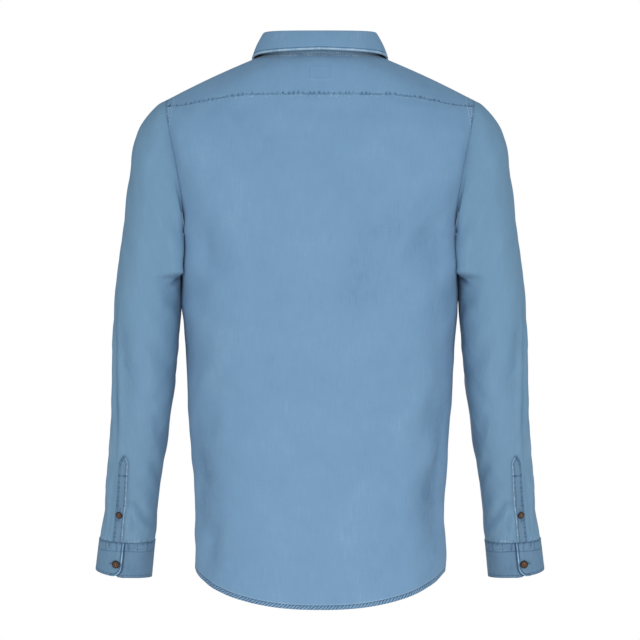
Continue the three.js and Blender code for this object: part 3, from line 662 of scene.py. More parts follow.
# Materials
class Nodes:
    """Short calls for building the nodes of a material or a world."""

    def __init__(self, owner):
        owner.use_nodes = True
        self.tree = owner.node_tree
        self.tree.nodes.clear()

    def add(self, kind, inputs=None, **settings):
        node = self.tree.nodes.new(kind)
        for key, value in settings.items():
            setattr(node, key, value)
        for key, value in (inputs or {}).items():
            if isinstance(value, bpy.types.NodeSocket):
                self.tree.links.new(value, node.inputs[key])
            else:
                node.inputs[key].default_value = value
        return node

    def math(self, operation, a, b=0.0):
        return self.add("ShaderNodeMath", {0: a, 1: b}, operation=operation).outputs[0]

    def sum(self, *values):
        total = values[0]
        for value in values[1:]:
            total = self.math("ADD", total, value)
        return total

    def times(self, a, b):
        return self.math("MULTIPLY", a, b)

    def minus(self, a, b):
        return self.math("SUBTRACT", a, b)

    def gap(self, a, b=0.0):
        return self.math("ABSOLUTE", self.minus(a, b))

    def held(self, value, low, high):
        return self.math("MAXIMUM", self.math("MINIMUM", value, high), low)

    def smooth(self, value, low, high, to_low=0.0, to_high=1.0):
        inputs = {"Value": value, "From Min": low, "From Max": high, "To Min": to_low, "To Max": to_high}
        node = self.add("ShaderNodeMapRange", inputs, interpolation_type="SMOOTHSTEP")
        return node.outputs[0]

    def attribute(self, name):
        node = self.add("ShaderNodeAttribute", attribute_name=name, attribute_type="GEOMETRY")
        return self.add("ShaderNodeSeparateXYZ", {0: node.outputs["Vector"]}).outputs

    def point(self, x, y, z=0.0):
        return self.add("ShaderNodeCombineXYZ", {0: x, 1: y, 2: z}).outputs[0]

    def noise(self, place, scale, detail=2.0, rough=0.5):
        inputs = {"Vector": place, "Scale": scale, "Detail": detail, "Roughness": rough}
        return self.add("ShaderNodeTexNoise", inputs, normalize=True).outputs["Fac"]

    def grain(self, u, v, fine, layer, detail, rough):
        """Noise around zero, with so many bumps to a millimetre of u and of v as fine says."""
        place = self.point(self.times(u, fine[0]), self.times(v, fine[1]), layer)
        return self.minus(self.noise(place, 1.0, detail, rough), 0.5)

    def blend(self, factor, a, b):
        node = self.add("ShaderNodeMix", data_type="RGBA")
        for key, value in ((0, factor), (6, a), (7, b)):
            if isinstance(value, bpy.types.NodeSocket):
                self.tree.links.new(value, node.inputs[key])
            else:
                node.inputs[key].default_value = value
        return node.outputs[2]


# Layers of the denim's unevenness: bumps to a millimetre across and along, layer, detail, roughness
GRAIN = {
    "warp": ((1.1, 0.035), 0.0, 3.0, 0.6),
    "weft": ((0.05, 1.2), 0.0, 2.0, 0.5),
    "fleck": ((0.8, 0.55), 4.0, 2.0, 0.7),
    "wash": ((0.011, 0.009), 2.0, 4.0, 0.55),
    "cloudy": ((0.05, 0.04), 9.0, 3.0, 0.6),
}
# How much each layer lightens the denim, and how far it raises it
LIGHT = {"twill": 0.035, "warp": 0.36, "weft": 0.08, "fleck": 0.22, "wash": 0.3, "cloudy": 0.15}
RAISE = {"twill": 0.035, "warp": 0.16, "fleck": 0.08, "cloudy": 0.5}
TWILL = {"slant": (0.9, 0.62), "rib": 1.25}
DENIM = {
    "inside": (0.40, 0.48, 0.54, 1),
    "deep": (0.050, 0.110, 0.200, 1),
    "mid": (0.178, 0.312, 0.475, 1),
    "pale": (0.420, 0.570, 0.700, 1),
    "thread": (0.060, 0.120, 0.210, 1),
}


def seam_finish(
    n,
    name,
    lines=(),
    dark=0.16,
    pucker=0.15,
    mottle=0.06,
    specks=0.0,
    middle=0.0,
    reach=8.0,
    wave=7.0,
    worn=(1.5, 0.15),
    band=None,
    rope=0.0,
):
    """Height and lightness beside one edge.

    lines are the distances of topstitch grooves, and dark is how far each groove is darkened, as
    painted shade in the groove. worn is the width and strength of a pale or dark edge: wear at
    most edges, painted light beside the neck seam that lifts the shade under the collar leaf, and
    painted shade beside the sleeve's armhole seam and along the slit strip's outer edge. band is the
    width, darkening and, where it tapers, the two places along the edge between which it grows to
    that width. mottle is how dark the puckers are and specks how pale the worn spots, both within
    reach of middle. rope is a hem's twist.
    """
    distance, along, _ = n.attribute(name)
    far = n.smooth(n.gap(distance, middle), reach * 0.45, reach, 1.0, 0.0)
    patch_noise = n.noise(n.point(n.times(along, 0.07), 0.0, 7.0), 1.0, 3.0)
    patchy = n.smooth(patch_noise, 0.3, 0.7, 0.55, 1.0)
    wavy = n.smooth(patch_noise, 0.3, 0.7, 0.8, 1.25)
    # The edge band that worn sets: wear at most edges, painted light at the neck seam, painted shade at the
    # sleeve's armhole seam and along the slit strip's outer edge
    edge = n.smooth(n.math("DIVIDE", distance, wavy), worn[0] * 0.6, worn[0], worn[1], 0.0)
    light = n.times(edge, patchy)
    height = 0.0
    if band:
        width = band[0]
        if len(band) > 2:
            width = n.smooth(along, band[2], band[3], 0.0, band[0])
        past = n.minus(distance, width)
        within = n.smooth(past, -0.4, 0.6, 1.0, 0.0)
        rim = n.smooth(n.gap(past, 0.9), 0.3, 1.3, 0.2, 0.0)
        height = n.times(within, 0.5)
        light = n.sum(light, n.times(within, -band[1]), rim)
        if len(band) > 2:
            far = n.smooth(past, -1.2, 0.8, 1.0, 0.0)
    cell = n.point(n.times(along, 1 / wave), n.times(distance, 0.5 / wave), 0.3)
    ripple = n.minus(n.noise(cell, 1.0, 1.0), 0.5)
    height = n.sum(height, n.times(n.times(ripple, far), pucker * 6.0))
    beat = n.math("SINE", n.sum(n.times(along, 2 * math.pi / wave), n.times(patch_noise, 14.0)))
    blots = n.smooth(n.sum(beat, n.times(ripple, 3.5)), 0.1, 1.0, 0.06, -1.0)
    light = n.sum(light, n.times(n.times(blots, far), mottle))
    if specks:
        place = n.point(n.times(along, 0.42), n.times(distance, 0.5), 5.0)
        light = n.sum(light, n.times(n.smooth(n.noise(place, 1.0, 1.0), 0.56, 0.7, 0.0, specks), far))
    # Topstitch grooves: pressed in, and darkened by dark as painted shade in each groove
    for line in lines:
        gap = n.gap(distance, line)
        height = n.sum(height, n.smooth(gap, 0.2, 1.3, -0.25, 0.0))
        light = n.sum(light, n.smooth(gap, 0.25, 0.95, -dark, 0.0))
    if rope:
        slant = n.sum(along, n.times(distance, 1.1), n.times(n.noise(cell, 1.3, 1.0), 3.5))
        twist = n.math("SINE", n.times(slant, 2 * math.pi / 4.8))
        light = n.sum(light, n.times(n.times(twist, within), rope))
        height = n.sum(height, n.times(n.times(twist, within), 0.25))
    return height, light


def denim(name, seams=None, lightness=0.0, inside=False, tint=None, mark=None):
    """Washed denim: twill, uneven yarns, wash marks and the finish beside each seam."""
    material = bpy.data.materials.new(name)
    n = Nodes(material)
    u, v, lift = n.attribute("cloth")
    twill_place = n.sum(n.times(u, TWILL["slant"][0]), n.times(v, TWILL["slant"][1]))
    layers = {"twill": n.math("SINE", n.times(twill_place, 2 * math.pi / TWILL["rib"]))}
    layers.update({layer: n.grain(u, v, *row) for layer, row in GRAIN.items()})
    lights = [n.times(layers[layer], share) for layer, share in LIGHT.items()]
    # Folds tint the colour: deep troughs darker, ridges a little lighter. This is partly the wash, which
    # fades ridges and leaves troughs dark, and partly painted shade in the folds
    folds = n.times(n.held(lift, -4.0, 0.5), 0.045)
    light = n.sum(0.5 + lightness, *lights, folds)
    height = n.sum(*(n.times(layers[layer], share) for layer, share in RAISE.items()))
    for edge_name, finish in (seams or {}).items():
        seam_height, seam_light = seam_finish(n, edge_name, **finish)
        height = n.sum(height, seam_height)
        light = n.sum(light, seam_light)
    if mark:
        # a stitched box that shows through from the other side, and a worn line below it
        beyond_side = n.minus(n.gap(u), mark["half"])
        beyond_end = n.minus(n.gap(v, mark["middle"]), mark["rise"])
        beyond = n.math("MAXIMUM", beyond_side, beyond_end)
        light = n.sum(light, n.smooth(n.gap(beyond), 0.4, 1.6, -0.08, 0.0))
        short = n.smooth(n.gap(u), mark["half"] + 2, mark["half"] + 5, 1.0, 0.0)
        light = n.sum(light, n.times(n.smooth(n.gap(v, mark["line"]), 0.4, 1.4, 0.07, 0.0), short))
    light = n.held(light, 0.0, 1.0)
    dark_part = n.smooth(light, 0.0, 0.5)
    pale_part = n.smooth(light, 0.5, 1.0)
    mid = DENIM["mid"] if tint is None else tint
    colour = n.blend(pale_part, n.blend(dark_part, DENIM["deep"], mid), DENIM["pale"])
    if inside:
        colour = n.blend(0.55, colour, DENIM["inside"])
    bump = n.add("ShaderNodeBump", {"Strength": 1.0, "Distance": MM, "Height": height})
    rough = n.smooth(light, 0.0, 1.0, 0.95, 0.85)
    inputs = {"Base Color": colour, "Roughness": rough, "Normal": bump.outputs[0]}
    inputs.update({"Sheen Weight": 0.06, "Sheen Roughness": 0.5, "Specular IOR Level": 0.2})
    shader = n.add("ShaderNodeBsdfPrincipled", inputs)
    n.add("ShaderNodeOutputMaterial", {0: shader.outputs[0]})
    return material


def thread_material(name, dark, light):
    material = bpy.data.materials.new(name)
    n = Nodes(material)
    place = n.add("ShaderNodeTexCoord").outputs["Object"]
    shade = n.noise(place, 900.0, 2.0)
    patch = n.noise(place, 60.0, 2.0)
    colour = n.blend(n.smooth(patch, 0.35, 0.65), dark, light)
    bump = n.add("ShaderNodeBump", {"Strength": 0.5, "Distance": 0.0001, "Height": shade})
    inputs = {"Base Color": colour, "Roughness": 0.7, "Normal": bump.outputs[0]}
    n.add("ShaderNodeOutputMaterial", {0: n.add("ShaderNodeBsdfPrincipled", inputs).outputs[0]})
    return material


def horn_material():
    material = bpy.data.materials.new("horn")
    n = Nodes(material)
    place = n.add("ShaderNodeTexCoord").outputs["Object"]
    swirl = n.noise(place, 330.0, 3.0, 0.6)
    from_middle, _, _ = n.attribute("face")
    colour = n.blend(n.smooth(swirl, 0.38, 0.62), (0.085, 0.036, 0.014, 1), (0.34, 0.135, 0.040, 1))
    pale = n.noise(place, 520.0, 2.0)
    colour = n.blend(n.smooth(pale, 0.6, 0.75, 0.0, 0.6), colour, (0.46, 0.24, 0.10, 1))
    rim = n.sum(from_middle, n.times(n.minus(swirl, 0.5), 0.5))
    colour = n.blend(n.smooth(rim, 0.42, 0.68), colour, (0.022, 0.014, 0.011, 1))
    rough = n.smooth(swirl, 0.3, 0.7, 0.22, 0.38)
    shader = n.add("ShaderNodeBsdfPrincipled", {"Base Color": colour, "Roughness": rough})
    n.add("ShaderNodeOutputMaterial", {0: shader.outputs[0]})
    return material


THREAD = thread_material("thread", DENIM["thread"], (0.11, 0.2, 0.32, 1))
HOLE_THREAD = thread_material("buttonhole_thread", (0.10, 0.19, 0.31, 1), (0.17, 0.29, 0.43, 1))
BUTTON_THREAD = thread_material("button_thread", (0.045, 0.028, 0.020, 1), (0.11, 0.06, 0.035, 1))
HORN = horn_material()
INSIDE = denim("denim_inside", inside=True)
UNDER_LEAF = denim("denim_under_leaf", tint=(0.20, 0.125, 0.13, 1))

# Back panel
BACK_SIZE = {"rows": 190, "columns": 84}
rows = np.linspace(0, TOP_ROW, BACK_SIZE["rows"] + 1)[:, None]
shares = np.linspace(0, 1, BACK_SIZE["columns"] + 1)[None, :]
half = back_surface(rows + shares * 0, rows * 0 + shares)
back_grid = np.concatenate([mirrored(half[:, :0:-1]), half], axis=1)
TORSO_BUMPS = [(1.3, 70), (0.5, 26)]  # how high the unevenness is, and how long its bumps are
FADE = {"seam": 22, "arm": 18, "lap": 40, "neck": 30}  # how far from an edge the folds reach full depth


def torso_folds(grid, folds, side, seed, edges):
    """Pushes a body panel's points in and out along its normals. Gives the points and the folds."""
    normal = grid_normals(grid, flattened(grid))
    across = lengths(grid, 1)
    a = across - across[:, [np.argmin(np.abs(grid[0, :, 0]))]]
    b = grid[..., 2]
    lift = fold_heights(folds, a * side, b, seed)
    height = lift
    for k, (size, bump) in enumerate(TORSO_BUMPS):
        height = height + size * uneven(a, b, bump, seed + 1 + k)
    fade = 1.0
    for curve, reach in edges:
        fade = fade * ease(edge_distance(grid, curve)[..., 0] / reach)
    return grid + normal * (height * fade)[..., None], lift * fade


back_top = back_grid[-1]
back_sides = [back_grid[:, 0], back_grid[:, -1]]
back_edges = [(back_top, FADE["seam"]), (back_sides[0], FADE["arm"]), (back_sides[1], FADE["arm"])]
back_grid, back_lift = torso_folds(back_grid, BACK_FOLDS, 1, 11, back_edges)
back = Cloth("denim_back", back_grid, flattened(back_grid), lift=back_lift)
ARM_ROWS = rows[:, 0] >= UNDERARM_ROW
back.edges(seam_top=-1, hem=0, arm_right=(ARM_ROWS, 0), arm_left=(ARM_ROWS, -1))
back.edges(side_right=(~ARM_ROWS, 0), side_left=(~ARM_ROWS, -1))

SIDE = {"pucker": 0.12, "mottle": 0.05, "reach": 7, "lines": (1.2, 6.5), "dark": 0.08}
HEM = {"pucker": 0.2, "mottle": 0.06, "reach": 7, "worn": (0.9, -0.14), "band": (5.6, 0.10)}
HEM.update({"lines": (5.6,), "dark": 0.36, "rope": 0.32})
SPOTS = {"pucker": 0.2, "mottle": 0.07, "specks": 0.3, "middle": 1.8, "reach": 3.4, "wave": 6}
SPOTS.update({"worn": (0.9, -0.3)})
FELL = {"pucker": 0.35, "mottle": 0.3, "specks": 0.5, "wave": 5.0, "worn": (1.0, -0.24)}
FELL.update({"lines": (1.8,), "dark": 0.1})


def fell(cloth, name, width=11, taper=46):
    """The felled strip beside an armhole: widest at the shoulder and gone a hand's breadth below."""
    length = float(cloth.attributes[name][..., 1].max())
    return {**FELL, "band": (width, -0.03, length - taper, length)}


back_seams = {"seam_top": SPOTS, "hem": HEM, "arm_left": fell(back, "arm_left")}
back_seams.update({"arm_right": fell(back, "arm_right"), "side_left": SIDE, "side_right": SIDE})
back_finish = denim("denim_back", back_seams)
back_obj = settle(back.build(back_finish, INSIDE), "back")

# Yoke
YOKE_SIZE = {"columns": 150, "rows": 44}
column = np.linspace(0, YOKE["front"], YOKE_SIZE["columns"] + 1)[None, :]
depth = np.linspace(0, 1, YOKE_SIZE["rows"] + 1)[:, None]
yoke_half = yoke_surface(column + depth * 0, depth + column * 0)
yoke_grid = np.concatenate([mirrored(yoke_half[:, :0:-1]), yoke_half], axis=1)
yoke_out = yoke_grid + [0.0, 0.0, 200.0]
CORNER = int(round(YOKE_SIZE["columns"] * YOKE["corner"] / YOKE["front"]))
MIDDLE = YOKE_SIZE["columns"]
yoke = Cloth("denim_yoke", yoke_grid, yoke_out)
yoke.edges(neck=0, seam_top=(-1, slice(MIDDLE - CORNER, MIDDLE + CORNER + 1)))
yoke.edges(arm_left=(-1, slice(MIDDLE + CORNER, None)), arm_right=(-1, slice(0, MIDDLE - CORNER + 1)))
yoke.edges(front_left=(ALL, -1), front_right=(ALL, 0))
ARM_TOP = {"pucker": 0.3, "mottle": 0.2, "specks": 0.25, "reach": 12, "wave": 4.5, "worn": (1.0, -0.16)}
ARM_TOP.update({"band": (11, 0.03), "lines": (2.0,), "dark": 0.1})
YOKE_SEAM = {"pucker": 0.4, "mottle": 0.24, "specks": 0.1, "middle": 2.6, "reach": 2.8, "wave": 7.0}
YOKE_SEAM.update({"worn": (1.0, -0.3), "lines": (2.2,), "dark": 0.1})
# At the neck seam the wide pale edge band (7.5 mm) is painted light that lifts the shade under the collar
# leaf, on the yoke and on the stand
NECK_SEAM = {"pucker": 0.25, "mottle": 0.16, "specks": 0.16, "middle": 2.4, "reach": 3.6, "wave": 3.2}
NECK_SEAM.update({"worn": (7.5, 0.26), "lines": (1.8,), "dark": 0.08})
MARK = {"half": 13.5, "middle": 36.5, "rise": 9, "line": 49.5}
yoke_seams = {"neck": NECK_SEAM, "seam_top": YOKE_SEAM, "arm_left": ARM_TOP, "arm_right": ARM_TOP}
yoke_seams.update({"front_left": YOKE_SEAM, "front_right": YOKE_SEAM})
yoke_finish = denim("denim_yoke", yoke_seams, mark=MARK)
yoke_obj = settle(yoke.build(yoke_finish, INSIDE), "yoke")

# Fronts
FRONT_SIZE = {"rows": 190, "lap": 8, "columns": 72}
rows = np.linspace(0, TOP_ROW, FRONT_SIZE["rows"] + 1)
pit = int(round(FRONT_SIZE["rows"] * PIT_ROW / TOP_ROW))


def lap_share(row):
    """The share of a row at which it passes the placket's edge."""
    share = np.linspace(0, 0.4, 400)
    x = front_surface(np.full_like(share, min(row, PIT_ROW)), share)[:, 0]
    return np.interp(PLACKET_HALF, x, share)


laps = np.array([lap_share(r) for r in rows])[:, None]
near = np.linspace(-1, 1, 2 * FRONT_SIZE["lap"] + 1)[None, :] * laps
rest = np.linspace(0, 1, FRONT_SIZE["columns"] + 1)[None, 1:]
shares = np.concatenate([near, mix(laps, 1, rest)], axis=1)
front_grid = front_surface(rows[:, None] + shares * 0, np.abs(shares))
front_grid[..., 0] *= np.where(shares < 0, -1, 1)


def softened(grid, spread, weight):
    """Evens a grid along its columns, as far as weight says."""
    reach = np.arange(-2 * spread, 2 * spread + 1)
    share = np.exp(-((reach / spread) ** 2))
    padded = np.pad(grid, ((2 * spread, 2 * spread), (0, 0), (0, 0)), mode="edge")
    mean = sum(share[k] * padded[k : k + len(grid)] for k in range(len(reach))) / share.sum()
    return mix(grid, mean, weight[..., None])


# The chest is evened above the underarm, away from the placket and from the armhole
EVENED = {"rows": 9, "low": UNDERARM_ROW + 3.5, "high": TOP_ROW - 0.4, "near": 0.12, "far": 0.98}
by_height = between(rows, EVENED["low"], 1.5, EVENED["high"], 1.2)[:, None]
by_share = between(np.abs(shares), EVENED["near"], 0.2, EVENED["far"], 0.15)
front_grid = softened(front_grid, EVENED["rows"], by_height * by_share)
lap = slice(0, FRONT_SIZE["lap"])
pit_x = front_grid[pit, lap, 0]
front_grid[pit, lap] = neckline(180 - np.degrees(np.arcsin(pit_x / NECK["half"])))
keep_front = np.ones((len(rows) - 1, shares.shape[1] - 1), bool)
keep_front[pit:, lap] = False
LAP_COLUMNS = 2 * FRONT_SIZE["lap"]
front_edges = [
    (front_grid[-1], FADE["seam"]),
    (front_grid[:, -1], FADE["arm"]),
    (front_grid[: pit + 1, 0], FADE["lap"]),
    (front_grid[pit:, FRONT_SIZE["lap"]], FADE["neck"]),
]
front_grid, front_lift = torso_folds(front_grid, FRONT_FOLDS, 1, 23, front_edges)


def under_shift(grid):
    """The wearer's right front steps in beneath the left one."""
    ramp = 1 - ease((np.abs(grid[..., 0]) - PLACKET_HALF) / UNDER["fade"])
    ramp = np.where(grid[..., 0] < 0, 1, ramp)
    ramp[pit:] *= np.linspace(1, 0, len(rows) - pit)[:, None] ** UNDER["end"]
    return -UNDER["shift"] * ramp


def front_panel(name, node, shift):
    grid = front_grid
    normal = grid_normals(grid, flattened(grid))
    if shift:
        grid = mirrored(grid + normal * under_shift(grid)[..., None])
    made = Cloth(name, grid, flattened(grid), keep=keep_front, lift=front_lift)
    arm = rows >= UNDERARM_ROW
    made.edges(hem=0, arm=(arm, -1), side=(~arm, -1))
    made.edges(seam_top=(-1, slice(FRONT_SIZE["lap"], None)), lap=(slice(0, pit + 1), 0))
    seams = {"hem": HEM, "arm": fell(made, "arm"), "side": SIDE, "seam_top": SPOTS, "lap": {"reach": 7}}
    finish = denim(name, seams)
    return made, settle(made.build(finish, INSIDE), node)


front_left, front_left_obj = front_panel("denim_front_left", "front_left", False)
front_right, front_right_obj = front_panel("denim_front_right", "front_right", True)

# Button placket
over = (slice(0, pit + 1), slice(0, LAP_COLUMNS + 1))
strip = front_left.outer[over] + front_left.normal[over] * (LAY + CLOTH)
placket = Cloth("denim_front_placket", strip, flattened(strip))
placket.edges(edge_right=(ALL, 0), edge_left=(ALL, -1), hem=0)
STRIP_EDGE = {"pucker": 0.25, "mottle": 0.1, "specks": 0.08, "reach": 8, "worn": (1.8, 0.2), "lines": (5.5,)}
placket_seams = {"edge_right": STRIP_EDGE, "edge_left": STRIP_EDGE, "hem": HEM}
placket_finish = denim("denim_front_placket", placket_seams)
placket_obj = settle(placket.build(placket_finish, INSIDE), "front_placket")

# Collar
LAP_TURN = math.degrees(math.asin(PLACKET_HALF / NECK["half"]))


def stand_top(turn):
    base = neckline(turn)
    c = np.cos(np.radians(turn))
    rise = np.where(c > 0, mix(STAND["side"], STAND["back"], c * c), mix(STAND["side"], STAND["front"], -c))
    top = base - unit(flattened(base)) * STAND["lean"]
    top[..., 2] += rise
    return top


turns = np.linspace(-180 - LAP_TURN, 180 + LAP_TURN, 161)[None, :]
t = np.linspace(0, 1, 13)[:, None]
stand_grid = mix(neckline(turns), stand_top(turns), t[..., None]) + [0.0, 0.0, STAND["lift"]]
under = -(DOUBLE + LAY) * ease((-turns - STAND["under_turn"]) / (180 - STAND["under_turn"] - LAP_TURN))
stand_grid = stand_grid + grid_normals(stand_grid, flattened(stand_grid)) * (under + t * 0)[..., None]
stand = Cloth("denim_collar_stand", stand_grid, flattened(stand_grid), wall=DOUBLE)
stand.edges(neck=0, fold=-1)
stand_finish = denim("denim_collar_stand", {"neck": NECK_SEAM, "fold": {"reach": 6}}, lightness=-0.03)
stand_obj = settle(stand.build(stand_finish, INSIDE), "collar_stand")

LEAF_SIZE = {"turns": 180, "fine": 7, "steps": 4, "swell": 1.5}
turns = np.linspace(-178, 178, LEAF_SIZE["turns"] + 1)
edge = {key: spline(LEAF_EDGE["turn"], LEAF_EDGE[key], np.abs(turns)) for key in ("out", "up", "swing")}


def leaf_face(out_key, up_key, in_out, in_up):
    """A face of the leaf: its roll, then its fall to the edge, as smooth columns."""
    top = stand_top(turns)
    out = unit(flattened(top))
    lines = []
    for o, u in zip(LEAF_ROLL[out_key], LEAF_ROLL[up_key]):
        lines.append(top + out * o + [0.0, 0.0, u])
    for i in range(LEAF_SIZE["steps"]):
        t = (i + 1) / LEAF_SIZE["steps"]
        swell = LEAF_SIZE["swell"] * math.sin(math.pi * t)
        o = mix(LEAF_ROLL["out"][-1], edge["out"], t) + swell - in_out
        u = mix(LEAF_ROLL["up"][-1], edge["up"], t) - in_up
        sway = np.sign(turns) * edge["swing"] * t
        lines.append(top + out * o[:, None] + points(sway, 0, u))
    lines = np.array(lines)
    last = len(lines) - 1
    return np.array([by_line(lines, at) for at in np.linspace(0, last, last * LEAF_SIZE["fine"] + 1)])


def by_line(lines, at):
    """A line between the lines of a grid, on smooth curves through them."""
    i = min(int(at), len(lines) - 2)
    before = lines[max(i - 1, 0)]
    after = lines[min(i + 2, len(lines) - 1)]
    a, b = lines[i], lines[i + 1]
    return hermite(a, (b - before) / 2, b, (after - a) / 2, at - i)


leaf_outer = leaf_face("out", "up", 0.0, 0.0)
leaf_inner = leaf_face("in_out", "in_up", DOUBLE, 0.9)
leaf = Cloth("denim_collar_leaf", leaf_outer, flattened(leaf_outer) + [0, 0, 20], inner=leaf_inner)
leaf.normal = grid_normals(leaf_outer, leaf_outer - leaf_inner)
past_roll = slice(2 * LEAF_SIZE["fine"], None)
leaf.edges(rim=-1, end_left=(past_roll, -1), end_right=(past_roll, 0))
RIM = {"pucker": 0.12, "mottle": 0.04, "reach": 6, "worn": (2.6, 0.42), "lines": (3.5,), "dark": 0.34}
leaf_finish = denim("denim_collar_leaf", dict.fromkeys(leaf.curves, RIM), lightness=0.04)
leaf_obj = settle(leaf.build(leaf_finish, UNDER_LEAF), "collar_leaf")

# Sleeves
SLEEVE_SIZE = {"rows": 190, "angles": 108}
rows_s = np.linspace(0, SLEEVE_ROWS, SLEEVE_SIZE["rows"] + 1)
angles = np.linspace(0, 360, SLEEVE_SIZE["angles"] + 1)
ring = {key: value[:, None] for key, value in sleeve_ring(rows_s).items()}
sleeve_grid = ring_point(ring, angles[None, :])
hole = armhole(angles) + [0.2, 0.0, 0.0]
blend_in = np.clip(1 - rows_s, 0, 1)[:, None, None]
first = {key: column[0] for key, column in SLEEVE.items()}
sleeve_grid += (hole - ring_point(first, angles))[None] * blend_in
ring_middle = points((ring["out_x"] + ring["in_x"]) / 2, ring["mid_y"], (ring["out_z"] + ring["in_z"]) / 2)
sleeve_out = sleeve_grid - ring_middle
normal = grid_normals(sleeve_grid, sleeve_out, wrap=True)
turned = (angles[None, :] + 180) % 360 - 180
b = sleeve_grid[..., 2]
for key in ("a0", "a1"):
    SLEEVE_FOLDS[key] = SLEEVE_FOLDS[key] * SLEEVE_DEGREE
height = fold_heights(SLEEVE_FOLDS, turned * SLEEVE_DEGREE + b * 0, b, 31)
round_angle = np.radians(angles)[None, :]
around = [np.cos(round_angle) * 60, np.sin(round_angle) * 60]
# Where the sleeve's folds are held back: beside the body down to a height, and round the slit
CALM = {"half": 6, "fade": 24, "below": -360, "drop": 30}
CALM.update({"slit": 67, "slit_half": 12, "slit_fade": 10, "slit_row": 11.1, "slit_rows": 0.6, "least": 0.25})
by_body = ease((np.abs(angles - 180) - CALM["half"]) / CALM["fade"])[None, :]
fade = np.maximum(by_body, ease((CALM["below"] - b) / CALM["drop"]))
fade = fade * ease(lengths(sleeve_grid, 0) / 22) * ease((rows_s[-1] - rows_s)[:, None] / 0.35)
slit_zone = ease((np.abs(angles - CALM["slit"]) - CALM["slit_half"]) / CALM["slit_fade"])[None, :]
slit_zone = np.maximum(slit_zone, ease((CALM["slit_row"] - rows_s) / CALM["slit_rows"])[:, None])
fade = fade * mix(CALM["least"], 1, slit_zone)
sleeve_lift = height * fade
height += 1.0 * uneven(around[0] + b * 0, b + around[1] * 0.8, 46, 41)
height += 0.35 * uneven(around[0] * 1.5, b * 1.2 + around[1] * 1.5, 24, 42)
sleeve_grid = sleeve_grid + normal * (height * fade)[..., None]

# The sleeve hangs against the body for a hand's breadth below the underarm
CONTACT = {"gap": 0.4, "until": -344, "spread": 42, "fade": 12, "rows": 0.8}
inside_line = sleeve_grid[:, SLEEVE_SIZE["angles"] // 2]
body_side = back_surface(np.linspace(0, UNDERARM_ROW, 400), np.ones(400))
body_x = np.interp(inside_line[:, 2], body_side[:, 2], body_side[:, 0])
touching = ease((inside_line[:, 2] - CONTACT["until"]) / CONTACT["fade"]) * ease(rows_s / CONTACT["rows"])
pull = (body_x + CONTACT["gap"] - inside_line[:, 0]) * touching
sleeve_grid[..., 0] += pull[:, None] * np.exp(-(((angles - 180) / CONTACT["spread"]) ** 2))[None, :]

# Just below the underarm it is pressed to the body, flatter and further round to the back
PRESSED = {"until": -306, "front_until": -340, "full": 53, "gone": 80, "fuller": 12, "round": 85}
PRESSED.update({"fade": 9, "rows": 0.9, "from": 98})
OUTSIDE = 300  # farther out than any part of the body
ends = np.where(sleeve_grid[..., 1] > 0, PRESSED["until"], PRESSED["front_until"])
pressed = ease((sleeve_grid[..., 2] - ends) / PRESSED["fade"]) * ease(rows_s / PRESSED["rows"])[:, None]
inward_turn = np.clip((angles - PRESSED["from"]) / (180 - PRESSED["from"]), 0, 1)
inner_back = np.sin(math.pi * inward_turn) ** 2
sleeve_grid[..., 1] += PRESSED["fuller"] * pressed * inner_back[None, :]
back_tree = back.bvh()
body_trees = {True: (back_tree, back_tree), False: (front_left.bvh(), front_right.bvh())}
for i, j in np.argwhere((pressed > 0) & (np.abs(angles - 180) < PRESSED["round"])[None, :]):
    x, y, z = sleeve_grid[i, j]
    hits = []
    for tree, s in zip(body_trees[bool(y > 0)], (1, -1)):
        hits.append(tree.ray_cast(Vector((s * OUTSIDE, y, z)), Vector((-s, 0, 0)))[0])
    if None not in hits:
        body = max(abs(hit[0]) for hit in hits) + CONTACT["gap"]
        hold = 1 - float(ease((abs(y) - PRESSED["full"]) / (PRESSED["gone"] - PRESSED["full"])))
        sleeve_grid[i, j, 0] += (body - x) * hold * pressed[i, j]

CUFF_SIZE = {"rows": 34, "columns": 150, "closer": 1.4}
CUFF_SOFT = {"rise": 0.3, "radius": 40, "height": 50, "bump": 24, "lap": 40, "free": 4}
cuff_top = {key: column[-1] for key, column in SLEEVE.items()}
cuff_radius = (CUFF_END["out_x"] - CUFF_END["in_x"]) / 2
cuff_height = cuff_top["out_z"] - CUFF_END["out_z"]
cuff_turn = 360 + CUFF_LAP


def cuff_point(angle, t):
    end = ring_point(CUFF_END, angle)
    across = power(np.cos(np.radians(angle)), 2 / SQUARENESS["sleeve"])
    deep = np.maximum(np.sin(np.radians(angle)), 0)
    end[..., 2] -= CUFF_DROP * np.where(across > 0, np.sqrt(deep), (1 + across) * (deep > 0))
    return mix(end, ring_point(cuff_top, angle), np.asarray(t)[..., None])


def cuff_angle(c, t):
    below = np.maximum(CUFF_CORNER - t * cuff_height, 0)
    cut = CUFF_CORNER - np.sqrt(CUFF_CORNER**2 - below**2)
    trim = np.degrees(cut / cuff_radius)
    return CUFF_OVER_END - trim - (cuff_turn - 2 * trim) * c


t = (np.linspace(0, 1, CUFF_SIZE["rows"] + 1) ** CUFF_SIZE["closer"])[:, None]
c = np.linspace(0, 1, CUFF_SIZE["columns"] + 1)[None, :]
cuff_angles = cuff_angle(c, t)
cuff_grid = cuff_point(cuff_angles, t + c * 0)
cuff_middle = np.mean(cuff_grid, axis=1, keepdims=True)
cuff_out = flattened(cuff_grid - cuff_middle)
lap_end = CUFF_OVER_END - cuff_turn + CUFF_LAP
dip = CUFF_PROUD - (DOUBLE + LAY) * ease((lap_end + CUFF_SOFT["lap"] - cuff_angles) / CUFF_SOFT["lap"])
across = np.cos(np.radians(cuff_angles)) * CUFF_SOFT["radius"]
upward = t * CUFF_SOFT["height"] + np.sin(np.radians(cuff_angles)) * CUFF_SOFT["radius"]
soft = CUFF_SOFT["rise"] * uneven(across, upward, CUFF_SOFT["bump"], 51)
free = ease((cuff_angles - lap_end + CUFF_SOFT["free"]) / (2 * CUFF_SOFT["free"]))
cuff_grid = cuff_grid + grid_normals(cuff_grid, cuff_out) * (dip + soft * free)[..., None]


